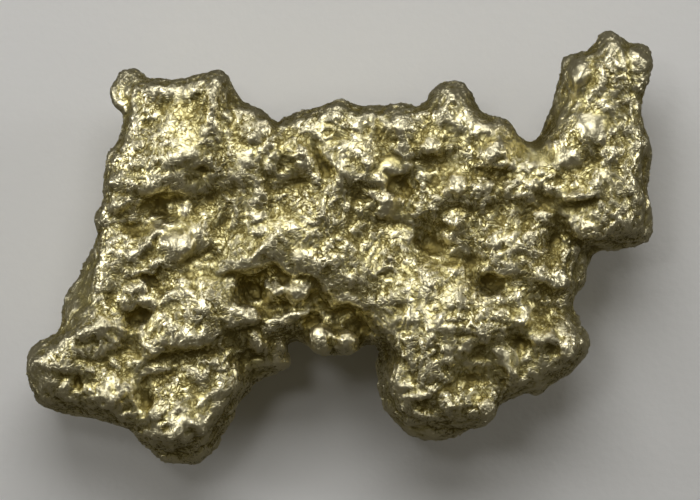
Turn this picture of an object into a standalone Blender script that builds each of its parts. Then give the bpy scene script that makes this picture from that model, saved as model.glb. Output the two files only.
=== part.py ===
"""A natural gold nugget, lying on its back with its best face up.

It grew as one piece, so it is one solid. The plan is a smooth closed outline. The front is a relief
of swells, hollows, ledges and ridges over that plan, the back is a gently lumpy underside, and the
round knobs are ellipsoids fused on. Sizes and places are in millimetres, X to the right and Y up the
plan, until the last step scales them to metres.
"""

import bpy
import numpy as np
from mathutils import Matrix, Vector, noise

NAME = "nugget"
MM = 0.001

# Driving dimensions, in millimetres.
RIM_HEIGHT = 16.7  # how high the widest line of the nugget lies above what it rests on
SLAB_HALF = 12.0  # half the thickness of the slab that the relief is pressed into
FRONT_BASE = 12.8  # how far the front stands above the rim before any swell
BACK_BASE = 13.6  # how far the back hangs below the rim before any swell
FRONT_ROUNDING = 3.6  # how far in from the outline the front reaches full height
BACK_ROUNDING = 13.0  # how far in from the outline the back reaches full depth
EDGE_START = 0.4  # both roundings start this far outside the outline, which leaves a low side wall
LEAST_HALF = 2.0  # the thinnest that the front or the back gets, before it is rounded
SLAB_GRAIN = 0.9  # voxel size of the slab
GRAIN = 0.6  # voxel size of the fused body
FACES = 9400  # triangles of the finished solid
CUTTER_SIZE = (160.0, 120.0, 20.0)  # the block that wears the underside flat

# The plan, clockwise from the neck under the top-left knob.
OUTLINE = [
    (-43.0, 26.0), (-42.0, 29.5), (-40.4, 32.6), (-38.3, 33.3), (-34.5, 33.2), (-29.5, 34.0),
    (-24.3, 35.2), (-22.6, 34.6), (-21.4, 32.0), (-20.0, 29.3), (-18.5, 28.1), (-16.8, 28.1),
    (-14.2, 25.7), (-12.6, 24.2), (-10.6, 25.3), (-8.6, 26.6), (-5.3, 27.3), (-1.7, 28.8),
    (0.3, 29.5), (1.6, 28.5), (3.2, 27.9), (8.5, 28.4), (11.7, 28.9), (14.0, 28.2),
    (17.2, 28.3), (18.3, 30.2), (18.9, 32.0), (21.2, 32.6), (24.8, 32.5), (25.9, 30.6), (26.7, 27.9),
    (29.6, 26.1), (31.8, 26.1), (34.2, 24.6), (35.4, 22.3), (37.6, 20.8), (39.4, 20.7),
    (40.6, 22.6), (42.2, 27.0), (43.0, 30.0), (44.4, 33.2), (44.8, 36.2), (46.5, 38.1),
    (49.2, 38.7), (51.1, 40.4), (52.5, 42.3), (54.2, 42.8), (55.9, 42.0), (57.2, 39.9), (59.2, 40.3),
    (61.2, 38.6), (61.7, 35.4), (61.2, 32.3), (60.2, 30.2), (60.1, 26.2), (61.2, 22.6),
    (62.2, 19.4), (61.7, 16.0), (61.2, 12.2), (62.1, 7.5), (62.6, 4.0), (61.5, 1.3),
    (58.0, 0.3), (54.5, -0.4), (51.0, -0.8), (49.8, -2.6), (49.2, -6.2), (47.2, -9.6),
    (46.7, -12.2), (48.2, -15.8), (49.8, -18.8), (48.6, -22.2), (45.2, -25.3), (42.4, -27.2),
    (40.6, -28.6), (37.4, -28.6), (34.4, -29.8), (31.8, -30.9), (30.4, -33.6), (29.0, -35.4),
    (25.5, -36.2), (21.5, -37.8), (17.2, -38.6), (12.8, -36.6), (9.8, -33.0), (8.1, -28.6),
    (8.3, -25.0), (9.1, -22.2), (8.2, -20.0), (5.4, -18.8), (3.4, -20.2), (1.0, -20.9),
    (-1.6, -20.8), (-3.4, -21.2), (-5.2, -19.9), (-7.6, -18.6), (-10.2, -18.2), (-11.2, -20.2),
    (-9.4, -22.8), (-12.6, -24.9), (-17.0, -26.7), (-19.8, -29.6), (-21.6, -34.3), (-23.8, -37.3),
    (-25.6, -40.8), (-28.3, -42.8), (-32.4, -43.0), (-35.8, -42.0), (-37.4, -40.5), (-40.0, -38.4),
    (-40.8, -36.4), (-46.0, -34.8), (-52.0, -33.6), (-58.4, -32.3), (-59.9, -30.4), (-61.4, -27.4),
    (-62.3, -24.2), (-61.8, -21.0), (-59.6, -19.2), (-56.9, -17.9), (-55.3, -15.8), (-55.2, -11.2),
    (-52.2, -5.6), (-49.2, -0.8), (-47.7, 2.7), (-48.8, 5.2), (-47.5, 8.6), (-46.6, 13.4),
    (-46.1, 18.2), (-44.4, 20.8), (-43.0, 23.2),
]
SPAN_STEPS = 3  # points that the smooth outline takes from each span

# Front swells: centre x, y, half length, half width, turn in degrees, height.
FRONT_SWELLS = [
    # Upper-left brow, which leans back from its lower edge, and the shoulder beside it.
    (-32.0, 19.5, 10.0, 7.0, 4, 3.3), (-25.0, 30.0, 4.0, 8.0, -10, 1.2), (-17.0, 21.5, 6.5, 6.5, 0, 1.9),
    (-40.5, 16.0, 5.0, 7.0, 0, 0.6), (-13.0, 24.0, 4.0, 3.0, 0, 0.9),
    # Domed boss and the masses of the left side.
    (-31.5, 0.2, 6.6, 5.2, 14, 3.3), (-41.5, -1.5, 6.0, 4.4, -35, 1.6), (-29.5, -13.0, 9.5, 8.0, 12, 4.1),
    (-24.5, -7.0, 7.0, 4.4, 8, 1.4), (-40.0, -7.6, 3.4, 2.6, 0, 2.2), (-47.5, -17.5, 6.0, 4.4, 24, 2.0),
    (-57.0, -22.0, 6.0, 4.4, 14, 1.7), (-45.5, -29.0, 7.0, 4.6, 6, 2.2), (-57.0, -29.0, 3.6, 3.0, 0, 1.1),
    (-31.5, -35.0, 7.0, 6.6, 0, 2.7), (-27.5, -25.0, 7.0, 3.4, 22, 1.4), (-37.5, -38.0, 4.0, 3.0, 0, 0.9),
    # Middle of the body.
    (-10.0, 1.0, 13.0, 7.5, 8, 2.8), (-7.0, 18.5, 6.0, 5.0, 0, 1.6), (3.0, 19.0, 6.5, 5.6, 0, 1.9),
    (-17.5, 9.0, 5.0, 4.6, 0, 1.2), (-2.5, 8.0, 5.4, 4.6, 30, 1.4), (4.0, -3.5, 7.0, 5.0, -20, 1.2),
    (12.5, 23.0, 5.4, 4.4, 0, 1.2), (24.5, 23.5, 6.0, 4.4, 0, 1.1), (23.5, 11.0, 6.5, 4.2, 0, 2.0),
    (-20.0, 14.5, 9.0, 4.0, 4, 1.6), (-1.0, 13.0, 8.0, 4.0, 0, 1.4), (29.0, 16.0, 9.0, 3.6, -4, 1.1),
    (-36.0, 14.0, 8.0, 3.6, 0, 2.2), (-1.0, -3.0, 7.0, 5.0, -12, 1.2),
    # Right lobe, plate, block and tower.
    (20.5, -13.5, 13.0, 8.6, -8, 4.4), (31.5, -13.0, 5.4, 5.0, 20, 1.4), (33.5, 0.6, 8.0, 5.4, 5, 2.7),
    (37.0, 14.0, 8.0, 5.4, 0, 1.4), (52.5, 11.5, 8.0, 10.0, 0, 2.8), (53.0, 3.4, 8.0, 3.4, 5, 1.1),
    (50.0, 25.0, 6.0, 5.0, 0, 1.4), (54.0, 33.5, 4.4, 6.6, 0, 1.1), (18.0, -28.5, 8.0, 5.4, 0, 2.8),
    (22.0, -32.0, 8.0, 3.6, -8, 1.4), (42.5, -19.5, 5.6, 5.4, 40, 2.2), (17.0, -21.0, 9.0, 4.4, -4, 3.4),
    (28.0, -20.5, 6.0, 4.0, 0, 1.2), (37.0, -8.0, 6.0, 5.0, 0, 1.6),
]

# Front hollows: centre x, y, half length, half width, turn, depth.
FRONT_HOLLOWS = [
    # Under the brow and round the boss.
    (-34.0, 7.4, 5.8, 2.5, 4, 2.6), (-41.5, 4.0, 4.4, 2.2, -10, 2.2), (-27.4, 14.6, 4.4, 1.8, -14, 2.2),
    (-25.6, 9.4, 2.2, 2.6, 0, 2.5), (-24.0, 3.4, 2.6, 2.0, -20, 1.6), (-21.4, 31.2, 1.6, 4.4, 18, 2.0),
    (-37.6, 24.5, 1.6, 6.0, -8, 1.1), (-22.6, 25.0, 1.4, 4.0, 14, 1.4),
    # Left lobe and foot. The body beside them is set back.
    (-52.5, -8.0, 4.4, 10.5, -26, 4.7), (-40.0, -13.4, 3.6, 2.0, 8, 3.4), (-36.8, -6.8, 2.2, 1.4, 0, 1.6),
    (-42.6, -20.6, 2.6, 2.6, 0, 1.6), (-45.6, -9.6, 2.0, 2.0, 0, 2.0), (-51.6, -27.0, 2.6, 2.0, -35, 1.8),
    (-56.2, -28.2, 2.2, 1.2, 40, 2.2), (-33.6, -25.6, 5.0, 1.5, -8, 2.2), (-25.4, -24.0, 2.6, 1.6, 20, 1.8),
    (-38.8, -30.0, 2.0, 3.6, 10, 2.7), (-30.5, -41.2, 5.0, 2.0, 0, 1.8), (-27.5, -32.5, 1.4, 2.6, 20, 1.4),
    # Middle of the body.
    (11.4, 10.0, 3.8, 4.2, 0, 3.6), (-7.0, 12.8, 4.6, 1.6, -10, 2.2), (-13.6, 13.0, 2.2, 1.8, 0, 2.0),
    (-3.4, 16.4, 1.6, 4.0, 35, 1.8), (18.0, 1.6, 4.0, 3.4, -22, 4.0), (20.4, 16.4, 2.6, 2.0, -20, 2.3),
    (4.0, 11.0, 2.6, 2.0, 0, 1.8), (7.2, 2.6, 2.4, 2.6, 0, 1.3), (26.0, 8.8, 4.0, 1.0, 0, 1.4),
    (14.6, 5.4, 2.0, 2.6, -30, 1.8), (-1.6, 1.6, 1.8, 1.4, 0, 1.4), (-19.4, 3.4, 2.2, 1.6, 0, 1.3),
    (-10.6, 20.6, 1.4, 2.6, 0, 1.4), (8.0, 22.5, 1.2, 3.0, 0, 1.4), (17.0, 24.6, 1.4, 2.6, 0, 1.6),
    # Right side.
    (30.0, -7.6, 4.4, 1.8, -8, 3.0), (26.2, -3.6, 1.4, 2.2, 0, 2.0), (40.6, 8.6, 2.4, 1.6, 0, 2.2),
    (42.2, 0.6, 1.8, 4.0, -16, 3.1), (37.6, 4.8, 3.0, 1.4, -16, 1.6), (32.0, 13.6, 3.4, 1.4, -6, 2.2),
    (42.0, -20.4, 1.6, 1.6, 0, 3.1), (27.4, -21.2, 2.6, 1.4, -8, 3.1), (36.0, -18.6, 2.8, 1.8, -20, 2.7),
    (17.0, -32.0, 3.2, 1.3, -8, 2.5), (26.0, -26.0, 4.0, 1.4, 6, 1.8), (11.6, -12.2, 2.0, 1.4, -30, 2.0),
    (45.4, 28.0, 2.6, 5.4, 14, 2.0), (56.8, 33.0, 1.2, 4.4, -8, 1.4), (41.5, -11.8, 3.4, 4.6, 0, 2.3),
    (47.5, -3.6, 3.4, 4.4, 0, 3.8), (38.4, 19.0, 4.0, 2.6, 0, 1.3), (35.6, -11.4, 1.4, 2.0, 0, 1.6),
]

# Ledges: a path with the raised side on its left, lift and reach behind the lip, drop and reach below it.
FRONT_LEDGES = [
    ([(-41.0, 9.2), (-37.0, 10.8), (-33.0, 10.2), (-28.4, 10.6)], 1.4, 2.2, 2.2, 1.8),
    ([(-37.0, -3.6), (-33.0, -4.2), (-29.4, -3.2), (-26.4, -1.8), (-23.0, -1.6)], 0.8, 1.6, 1.6, 1.2),
    ([(-42.4, -5.4), (-39.4, -4.6), (-36.8, -4.6), (-34.6, -5.8)], 1.4, 1.4, 1.8, 1.4),
    ([(-49.0, 3.0), (-48.0, -2.0), (-49.0, -7.0), (-48.4, -13.0)], 1.0, 2.0, 1.6, 2.6),
    ([(-39.6, -20.2), (-35.6, -19.6), (-31.0, -20.0), (-26.0, -19.4), (-24.0, -17.2), (-20.6, -15.8),
      (-16.0, -15.6), (-14.6, -12.6)], 1.4, 2.2, 3.0, 1.8),
    ([(-25.0, -3.6), (-20.6, -5.0), (-16.6, -4.9), (-13.4, -3.4), (-10.4, -5.0), (-5.6, -6.2), (-3.0, -9.0),
      (0.6, -11.0), (3.6, -11.8), (5.4, -14.6), (7.6, -18.0)], 1.4, 2.2, 4.6, 2.0),
    ([(26.0, -5.0), (31.0, -5.6), (36.0, -5.0), (40.6, -7.2), (44.6, -8.2)], 1.2, 2.0, 2.4, 1.8),
    ([(43.6, 8.8), (46.0, 8.9), (50.0, 9.4), (53.4, 7.6)], 1.2, 2.0, 1.6, 1.6),
    ([(43.4, 8.0), (44.6, 4.4), (47.0, 1.8), (51.0, 0.4), (57.0, 1.6)], 1.0, 2.6, 3.0, 2.6),
    ([(11.6, -29.6), (15.6, -30.2), (18.6, -28.8), (20.6, -27.0), (23.6, -27.8)], 1.2, 1.8, 1.6, 1.4),
    ([(12.6, -34.0), (17.0, -35.2), (22.0, -35.2), (25.4, -34.6)], 1.0, 1.6, 2.0, 2.0),
    ([(23.0, -23.4), (28.0, -23.2), (31.6, -23.8)], 1.0, 1.2, 1.2, 1.4),
    ([(31.6, -19.4), (34.0, -21.8), (38.4, -22.6), (43.6, -24.6)], 0.8, 1.6, 1.6, 1.8),
    ([(-49.0, -31.2), (-46.6, -32.2), (-43.6, -31.8)], 0.8, 1.6, 2.0, 2.4),
    ([(-60.4, -25.2), (-57.0, -25.0), (-53.6, -24.4), (-50.0, -25.2)], 1.0, 1.8, 1.8, 1.8),
    ([(-39.6, -37.2), (-36.4, -39.0), (-31.0, -38.2), (-26.6, -36.6)], 1.0, 2.0, 2.4, 2.4),
]

# Ridges: a path, half width, height.
FRONT_RIDGES = [
    ([(-39.8, -2.6), (-38.8, 0.6), (-35.8, 3.6), (-31.6, 5.4), (-27.8, 4.0), (-25.6, 1.0)], 1.1, 1.4),
    ([(-19.0, -3.4), (-14.4, 0.2), (-10.6, 3.8), (-6.6, 6.4)], 1.2, 0.9),
    ([(-40.4, 32.0), (-33.0, 31.8), (-24.0, 33.6)], 1.4, 1.6),
    ([(-24.0, 34.0), (-24.6, 28.0), (-26.4, 22.0)], 1.4, 1.8),
    ([(31.0, -19.4), (33.0, -22.6), (35.2, -25.6)], 0.8, 2.0),
    ([(8.4, 16.8), (7.4, 14.0), (8.0, 12.0)], 1.0, 1.8),
    ([(8.0, 15.8), (11.0, 17.6), (14.4, 15.6)], 1.1, 1.8),
    ([(-21.4, 26.6), (-16.0, 27.0), (-13.2, 24.0)], 1.0, 1.2),
    ([(0.0, 20.0), (1.4, 16.0), (5.0, 14.6)], 1.0, 1.4),
    ([(-6.6, 25.6), (0.0, 26.6), (8.0, 26.4)], 1.2, 1.0),
    ([(35.0, -16.8), (39.6, -17.6), (42.4, -17.2), (45.8, -18.6), (46.8, -21.4)], 1.0, 1.6),
    ([(28.0, 9.6), (33.0, 11.0), (38.0, 10.6), (42.0, 11.6)], 1.1, 0.9),
    ([(14.0, -2.6), (17.0, -4.6), (20.6, -6.4)], 1.4, 1.8),
    ([(22.6, 2.4), (24.4, 5.2), (23.4, 7.4)], 1.2, 1.4),
    ([(-22.0, -28.0), (-25.0, -33.0), (-27.6, -37.2)], 1.0, 1.2),
    ([(-36.6, -35.0), (-33.4, -37.2)], 0.8, 1.2),
    ([(-30.0, -34.4), (-26.6, -36.2)], 0.8, 1.4),
    ([(-52.0, -18.6), (-48.0, -15.6), (-44.6, -14.6)], 1.0, 1.4),
    ([(58.8, 5.0), (59.4, 11.0), (58.8, 17.0)], 1.2, 1.0),
]

# Where the front falls away to its sides: centre x, y, half length, half width, turn, and the share of its
# height that is lost from the upper side of this patch to the lower one, at turn 0.
FRONT_FALLS = [
    # Undersides and flanks of the left side.
    (-31.5, -39.6, 8.0, 3.4, 0, 0.55), (-51.0, -31.6, 8.0, 2.6, -14, 0.50),
    (-21.5, -31.0, 10.0, 3.2, 53, 0.50), (-14.5, -23.8, 5.0, 2.2, 20, 0.40),
    (-51.8, -8.0, 10.0, 3.5, -111, 0.35),
    # Undersides of the right foot and lobe, and the wall towards the arch.
    (18.0, -35.0, 11.0, 3.4, -3, 0.50), (10.5, -30.0, 6.0, 2.4, -66, 0.50), (8.5, -17.0, 6.0, 2.6, -49, 0.35),
    (45.0, -23.5, 6.0, 2.6, 37, 0.40),
    # Neck, block and the tower's left flank.
    (46.5, -6.0, 8.0, 3.0, 72, 0.50), (55.5, 1.8, 6.5, 2.0, 4, 0.40), (60.0, 10.0, 10.0, 2.6, 90, 0.50),
    (43.5, 27.0, 6.0, 2.6, -107, 0.40),
]

# The recess in the arch between the two feet, where the front drops to a thin back layer.
ARCH_RECESS = [(-14.0, -9.6, 8.0, 4.0, -8, 6.0), (-2.6, -15.0, 8.0, 4.0, -18, 5.6),
               (-16.0, -21.0, 7.4, 4.4, 30, 7.0), (-8.0, -17.0, 5.0, 3.0, 0, 3.0)]

# Back swells and hollows. The four first ones are the lumps that it rests on.
BACK_SWELLS = [
    (-40.0, -18.0, 13.0, 10.0, 20, 4.6), (-27.0, 20.0, 12.0, 10.0, 0, 4.4), (33.0, 12.0, 13.0, 10.0, 0, 4.4),
    (21.0, -21.0, 11.0, 12.0, 0, 4.6), (-6.0, 8.0, 14.0, 10.0, 20, 1.8), (4.0, 22.0, 9.0, 5.0, 0, 1.6),
    (-12.0, -6.0, 8.0, 6.0, 0, 1.0), (-45.0, 6.0, 6.0, 9.0, 0, 1.6), (52.0, 6.0, 7.0, 6.0, 0, 1.0),
]
BACK_HOLLOWS = [
    (-12.0, 14.0, 7.0, 5.0, 30, 3.0), (8.0, -6.0, 9.0, 6.0, -20, 3.4), (-22.0, -2.0, 8.0, 5.0, 40, 2.6),
    (-54.0, -24.0, 9.0, 8.0, 0, 4.0), (-30.0, -36.0, 8.0, 8.0, 0, 3.4), (52.0, 32.0, 11.0, 14.0, 10, 5.0),
    (44.0, -18.0, 9.0, 9.0, 0, 4.4), (-10.0, -22.0, 12.0, 6.0, 30, 6.0), (17.0, 14.0, 5.0, 4.0, 0, 2.2),
    (44.0, -2.0, 6.0, 6.0, 0, 2.4), (-40.0, 30.0, 6.0, 5.0, 0, 4.0), (22.0, 29.0, 6.0, 4.0, 0, 3.0),
    (57.0, 16.0, 7.0, 8.0, 0, 2.6),
]

# Knobs on the front: centre x, y, half sizes in x, y and z, turn, and how far the top stands out.
FRONT_KNOBS = [
    # Ringed, hooked and plain knobs of the upper half.
    (30.9, 18.0, 3.5, 3.3, 3.4, 0, 2.6), (18.0, 19.6, 2.7, 2.7, 3.2, 0, 2.4),
    (9.2, 8.6, 1.9, 2.8, 3.4, -10, 4.4), (12.2, 9.2, 1.3, 1.5, 2.6, 0, 3.4),
    (6.2, 9.8, 1.9, 1.9, 2.2, 0, 1.6), (5.6, 17.2, 1.5, 1.5, 1.8, 0, 1.4),
    (22.8, 12.4, 2.3, 2.2, 2.4, 0, 1.8), (27.8, 12.4, 2.9, 1.4, 2.0, -6, 1.6),
    (11.8, 23.6, 2.2, 2.4, 2.2, 20, 1.4), (-7.4, 17.6, 2.4, 2.6, 2.4, 0, 1.6),
    (-15.4, 23.8, 2.2, 2.2, 2.2, 0, 1.6), (-17.0, 11.0, 2.0, 2.6, 2.0, 20, 1.4),
    (-8.4, -1.6, 2.2, 1.8, 2.2, 0, 1.2), (-2.4, -2.6, 2.0, 1.7, 2.0, 0, 1.2),
    (3.6, -5.6, 1.3, 2.2, 2.0, 0, 1.3), (0.6, 1.6, 1.8, 1.6, 1.8, 0, 1.1),
    (-22.0, 14.4, 2.4, 1.8, 2.2, 0, 1.2), (-9.0, 9.6, 2.2, 1.8, 2.2, 0, 1.1),
    (-12.4, 5.0, 1.8, 1.6, 1.8, 0, 1.2), (-16.4, 4.6, 1.6, 1.8, 1.8, 0, 1.2),
    (3.0, 23.6, 2.0, 1.8, 2.0, 0, 1.3), (-3.4, 6.4, 1.8, 1.3, 1.6, 20, 1.2),
    (0.2, 13.2, 1.6, 1.4, 1.6, 0, 1.2), (28.0, 22.6, 2.4, 2.0, 2.4, 0, 1.4),
    (20.4, 25.6, 2.0, 1.6, 2.0, 0, 1.4), (16.2, 7.2, 1.0, 1.8, 1.6, 0, 1.4),
    (23.0, 4.6, 1.6, 2.2, 2.0, 0, 1.4),
    # Knobs of the left side.
    (-42.0, -11.4, 1.5, 1.4, 1.6, 0, 1.8), (-38.6, -10.2, 1.8, 1.2, 1.8, 0, 1.6),
    (-37.6, -20.6, 2.2, 2.0, 2.6, 0, 2.4), (-48.4, -20.4, 1.7, 1.7, 1.8, 0, 1.6),
    (-31.8, -31.3, 1.4, 1.4, 1.8, 0, 1.8), (-35.8, -33.0, 2.0, 2.2, 2.0, 20, 1.6),
    (-46.2, -29.4, 2.2, 2.6, 2.4, 0, 1.6), (-43.6, 8.6, 1.8, 1.4, 1.8, 0, 1.4),
    (-36.4, 11.8, 2.2, 1.2, 1.6, 40, 1.2), (-33.4, -15.0, 2.6, 2.2, 2.4, 0, 1.2),
    (-27.6, -12.4, 2.8, 2.4, 2.4, 0, 1.2), (-29.6, -17.6, 2.2, 1.8, 2.0, 0, 1.2),
    (-21.6, -12.6, 2.2, 2.4, 2.6, 0, 1.8), (-22.4, -7.8, 2.0, 1.8, 2.0, 0, 1.2),
    (-53.2, -19.0, 2.2, 1.8, 2.2, 0, 1.2), (-32.0, -36.6, 1.8, 1.6, 2.0, 0, 1.4),
    (-36.0, 16.8, 2.6, 1.6, 2.0, 0, 0.9), (-44.0, 13.0, 1.6, 2.2, 2.0, 0, 1.2),
    # Lumps in the arch, with the pendant that hangs in its middle.
    (-13.4, -8.6, 2.1, 3.2, 3.6, 10, 5.4), (-8.6, -8.4, 3.4, 2.4, 3.6, 0, 5.4),
    (-8.2, -12.6, 3.6, 1.2, 2.0, 12, 3.6), (-18.6, -13.4, 2.8, 2.1, 2.6, -10, 2.2),
    (-16.0, -18.6, 2.6, 2.6, 3.2, 20, 3.8), (-3.6, -18.2, 2.4, 3.2, 4.4, 10, 5.8),
    (1.4, -18.6, 2.9, 2.6, 4.4, -20, 5.4), (-12.0, -19.0, 1.8, 1.6, 2.4, 0, 2.0),
    (-2.0, -13.4, 2.6, 1.6, 2.4, -20, 3.0),
    # Knobs of the right side.
    (36.4, -13.9, 2.3, 2.2, 2.6, 0, 2.6), (44.8, -20.0, 1.7, 2.2, 2.0, 0, 1.8),
    (28.9, -31.6, 1.9, 2.8, 3.4, 4, 2.6), (25.3, -28.7, 1.4, 1.7, 1.8, -15, 1.6),
    (43.2, -6.2, 2.2, 2.2, 2.6, 30, 2.4), (39.6, -5.4, 2.2, 1.7, 2.2, 0, 1.8),
    (9.6, -2.2, 1.4, 1.7, 1.8, 0, 1.4), (40.6, 6.2, 2.2, 1.2, 1.8, 30, 1.6),
    (47.8, 10.4, 3.2, 1.3, 2.0, 12, 1.6), (17.0, -8.4, 2.8, 2.2, 2.4, 0, 1.3),
    (23.6, -9.6, 2.4, 2.4, 2.4, 0, 1.4), (13.6, -8.6, 2.2, 1.8, 2.2, 0, 1.2),
    (20.0, -16.0, 2.8, 1.8, 2.2, -8, 1.4), (27.6, -16.4, 2.2, 2.0, 2.4, 0, 1.4),
    (14.0, -16.2, 2.0, 1.8, 2.2, 0, 1.2), (31.6, -1.6, 2.4, 1.8, 2.2, 0, 1.2),
    (36.6, 1.8, 2.2, 1.8, 2.2, 0, 1.2), (29.4, 3.6, 2.0, 1.8, 2.0, 0, 1.2),
    (17.8, -23.4, 2.2, 1.8, 2.2, 0, 1.3), (12.6, -25.4, 1.8, 2.2, 2.2, 0, 1.2),
    (21.6, -30.4, 2.2, 1.8, 2.2, 0, 1.2), (39.6, 13.2, 2.2, 1.8, 2.0, 0, 1.2),
    (45.2, 17.8, 2.6, 1.9, 2.4, -10, 1.8), (49.8, 24.4, 3.0, 2.6, 2.6, 0, 2.0),
    (53.4, 18.8, 2.5, 2.4, 2.4, 0, 1.4), (56.8, 13.0, 2.0, 2.4, 2.2, 0, 1.0),
    (51.4, 14.0, 2.0, 1.8, 2.0, 0, 1.2),
]

# Knobs round the edge: centre x, y and height above the rest plane, half sizes, turn.
EDGE_KNOBS = [
    # Top-left knob of two lobes.
    (-41.9, 32.2, 19.0, 2.8, 3.4, 3.8, -8), (-43.9, 30.0, 19.5, 1.7, 3.0, 3.2, 18),
    # Knob on the top edge, with its coil and side lobe.
    (22.2, 29.0, 22.0, 3.6, 3.4, 4.4, 0), (25.7, 28.6, 21.0, 1.4, 1.7, 2.6, 0),
    (19.9, 27.2, 24.2, 2.5, 2.2, 2.6, 0), (0.3, 28.0, 20.5, 1.6, 1.7, 3.2, 0),
    # The three lobes on the tower.
    (47.2, 35.4, 20.0, 3.0, 3.4, 4.6, 10), (53.9, 39.4, 19.4, 3.3, 3.8, 4.8, 0),
    (59.5, 37.0, 18.2, 3.1, 4.3, 4.8, 0),
    # Lobes and spurs that stand out of the sides.
    (60.0, 20.4, 19.0, 2.0, 3.0, 4.0, 0), (39.5, -27.6, 18.4, 1.9, 2.0, 3.4, 0),
    (-59.6, -22.2, 18.0, 2.6, 3.0, 4.0, 0), (-58.0, -30.2, 15.0, 1.8, 1.8, 3.0, 0),
    (-44.6, 18.0, 18.0, 1.6, 2.4, 3.4, 0), (-33.0, -40.4, 13.0, 5.0, 2.6, 5.0, 0),
    (18.5, -36.2, 13.0, 6.0, 2.4, 5.0, 0), (47.4, -19.6, 16.0, 2.2, 3.4, 4.4, 0),
    (60.0, 7.0, 20.0, 2.4, 4.4, 4.0, 0), (-49.6, -3.8, 12.0, 2.2, 4.8, 5.0, -24),
    (-53.4, -13.4, 14.0, 2.4, 4.4, 5.0, 0), (9.6, -24.0, 16.0, 2.0, 4.4, 5.0, 0),
    (-20.0, -27.6, 13.0, 2.6, 2.4, 5.0, 30), (37.5, 19.2, 17.0, 3.4, 2.0, 5.0, 0),
    (-6.8, 25.4, 17.0, 3.8, 1.6, 4.4, 0),
]

# Crumpling, from large to small: feature size, depth.
CRUMPLES = [(9.0, 0.5), (5.0, 0.6), (3.1, 0.8)]
BACK_CRUMPLE = (15.0, 4.0)  # the large lumps of the back and the lower sides
BACK_CRUMPLE_FADE = 9.0  # they fade in over this far down from the rim
CRUMPLE_MEAN = 0.28  # mean square distance to the nearest lump's centre, in lump sizes
CELL_SHIFT = Vector((7.3, 1.9, 4.1))  # picks which lumps fall where


def clear_scene():
    for old in list(bpy.data.objects):
        bpy.data.objects.remove(old)


def smooth_outline():
    """The outline as a closed smooth curve, SPAN_STEPS points a span."""
    p = np.array(OUTLINE)
    before, after, beyond = np.roll(p, 1, 0), np.roll(p, -1, 0), np.roll(p, -2, 0)
    steps = []
    for t in np.arange(SPAN_STEPS) / SPAN_STEPS:
        steps.append(0.5 * (2 * p + (after - before) * t
                            + (2 * before - 5 * p + 4 * after - beyond) * t**2
                            + (3 * p - before - 3 * after + beyond) * t**3))
    return np.stack(steps, axis=1).reshape(-1, 2)


def path_distance(x, y, path):
    """(distance, side, share of the way along) of each point from a path. Side is +1 on its left."""
    nearest = np.full(x.shape, 1e9)
    side = np.ones(x.shape)
    along = np.zeros(x.shape)
    lengths = [np.hypot(b[0] - a[0], b[1] - a[1]) for a, b in zip(path, path[1:])]
    walked = 0.0
    for (ax, ay), (bx, by), length in zip(path, path[1:], lengths):
        dx, dy = (bx - ax) / length, (by - ay) / length
        t = np.clip((x - ax) * dx + (y - ay) * dy, 0.0, length)
        px, py = x - ax - t * dx, y - ay - t * dy
        d = np.hypot(px, py)
        closer = d < nearest
        nearest = np.where(closer, d, nearest)
        side = np.where(closer, np.where(dx * py - dy * px >= 0, 1.0, -1.0), side)
        along = np.where(closer, (walked + t) / sum(lengths), along)
        walked += length
    return nearest, side, along


def turned(x, y, cx, cy, half_length, half_width, turn):
    """Each point's place along and across a turned patch, in its half sizes."""
    c, s = np.cos(np.radians(turn)), np.sin(np.radians(turn))
    return ((x - cx) * c + (y - cy) * s) / half_length, ((y - cy) * c - (x - cx) * s) / half_width


def swell(x, y, cx, cy, half_length, half_width, turn, height):
    """A smooth hump with an oval foot."""
    u, v = turned(x, y, cx, cy, half_length, half_width, turn)
    q = np.clip(1.0 - (u * u + v * v) / 1.7, 0.0, 1.0)
    return height * q * q


def eased(low, high, x):
    """0 at low, 1 at high, and smooth in between."""
    t = np.clip((x - low) / (high - low), 0.0, 1.0)
    return t * t * (3.0 - 2.0 * t)


def height_kept(x, y):
    """Share of the front's height that is left where it falls away to its sides."""
    kept = np.ones(x.shape)
    for *patch, share in FRONT_FALLS:
        u, v = turned(x, y, *patch)
        kept *= 1.0 - share * eased(1.0, -1.0, v) * eased(-2.2, -1.6, v) * eased(1.15, 0.75, np.abs(u))
    return kept


def ends_fade(along):
    return np.clip(np.minimum(along, 1.0 - along) * 7.0, 0.0, 1.0)


def ledge(x, y, path, lift, back, drop, below):
    """A lip that rises to its edge, with the face under it cut away."""
    d, side, along = path_distance(x, y, path)
    step = np.clip(side * d / 0.5, -1.0, 1.0) * 0.5 + 0.5
    return ends_fade(along) * (step * lift * np.exp(-d / back) - (1.0 - step) * drop * np.exp(-d / below))


def ridge(x, y, path, half_width, height):
    d, _, along = path_distance(x, y, path)
    return ends_fade(along) * height * np.exp(-((d / half_width) ** 2))


def front_relief(x, y):
    """Height of the front over the rim, before the edge is rounded."""
    z = np.full(x.shape, FRONT_BASE)
    z = z + sum(swell(x, y, *s) for s in FRONT_SWELLS)
    z = z - sum(swell(x, y, *h) for h in FRONT_HOLLOWS + ARCH_RECESS)
    z = z + sum(ledge(x, y, *one) for one in FRONT_LEDGES)
    return z + sum(ridge(x, y, *one) for one in FRONT_RIDGES)


def back_relief(x, y):
    """Depth of the back under the rim, before the edge is rounded."""
    z = np.full(x.shape, BACK_BASE)
    z = z + sum(swell(x, y, *s) for s in BACK_SWELLS)
    return z - sum(swell(x, y, *h) for h in BACK_HOLLOWS)


def mesh_of(obj):
    """The object's evaluated mesh, with its modifiers applied, as a new mesh. The object is removed."""
    bpy.context.view_layer.update()
    made = bpy.data.meshes.new_from_object(obj.evaluated_get(bpy.context.evaluated_depsgraph_get()))
    bpy.data.objects.remove(obj)
    return made


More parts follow.
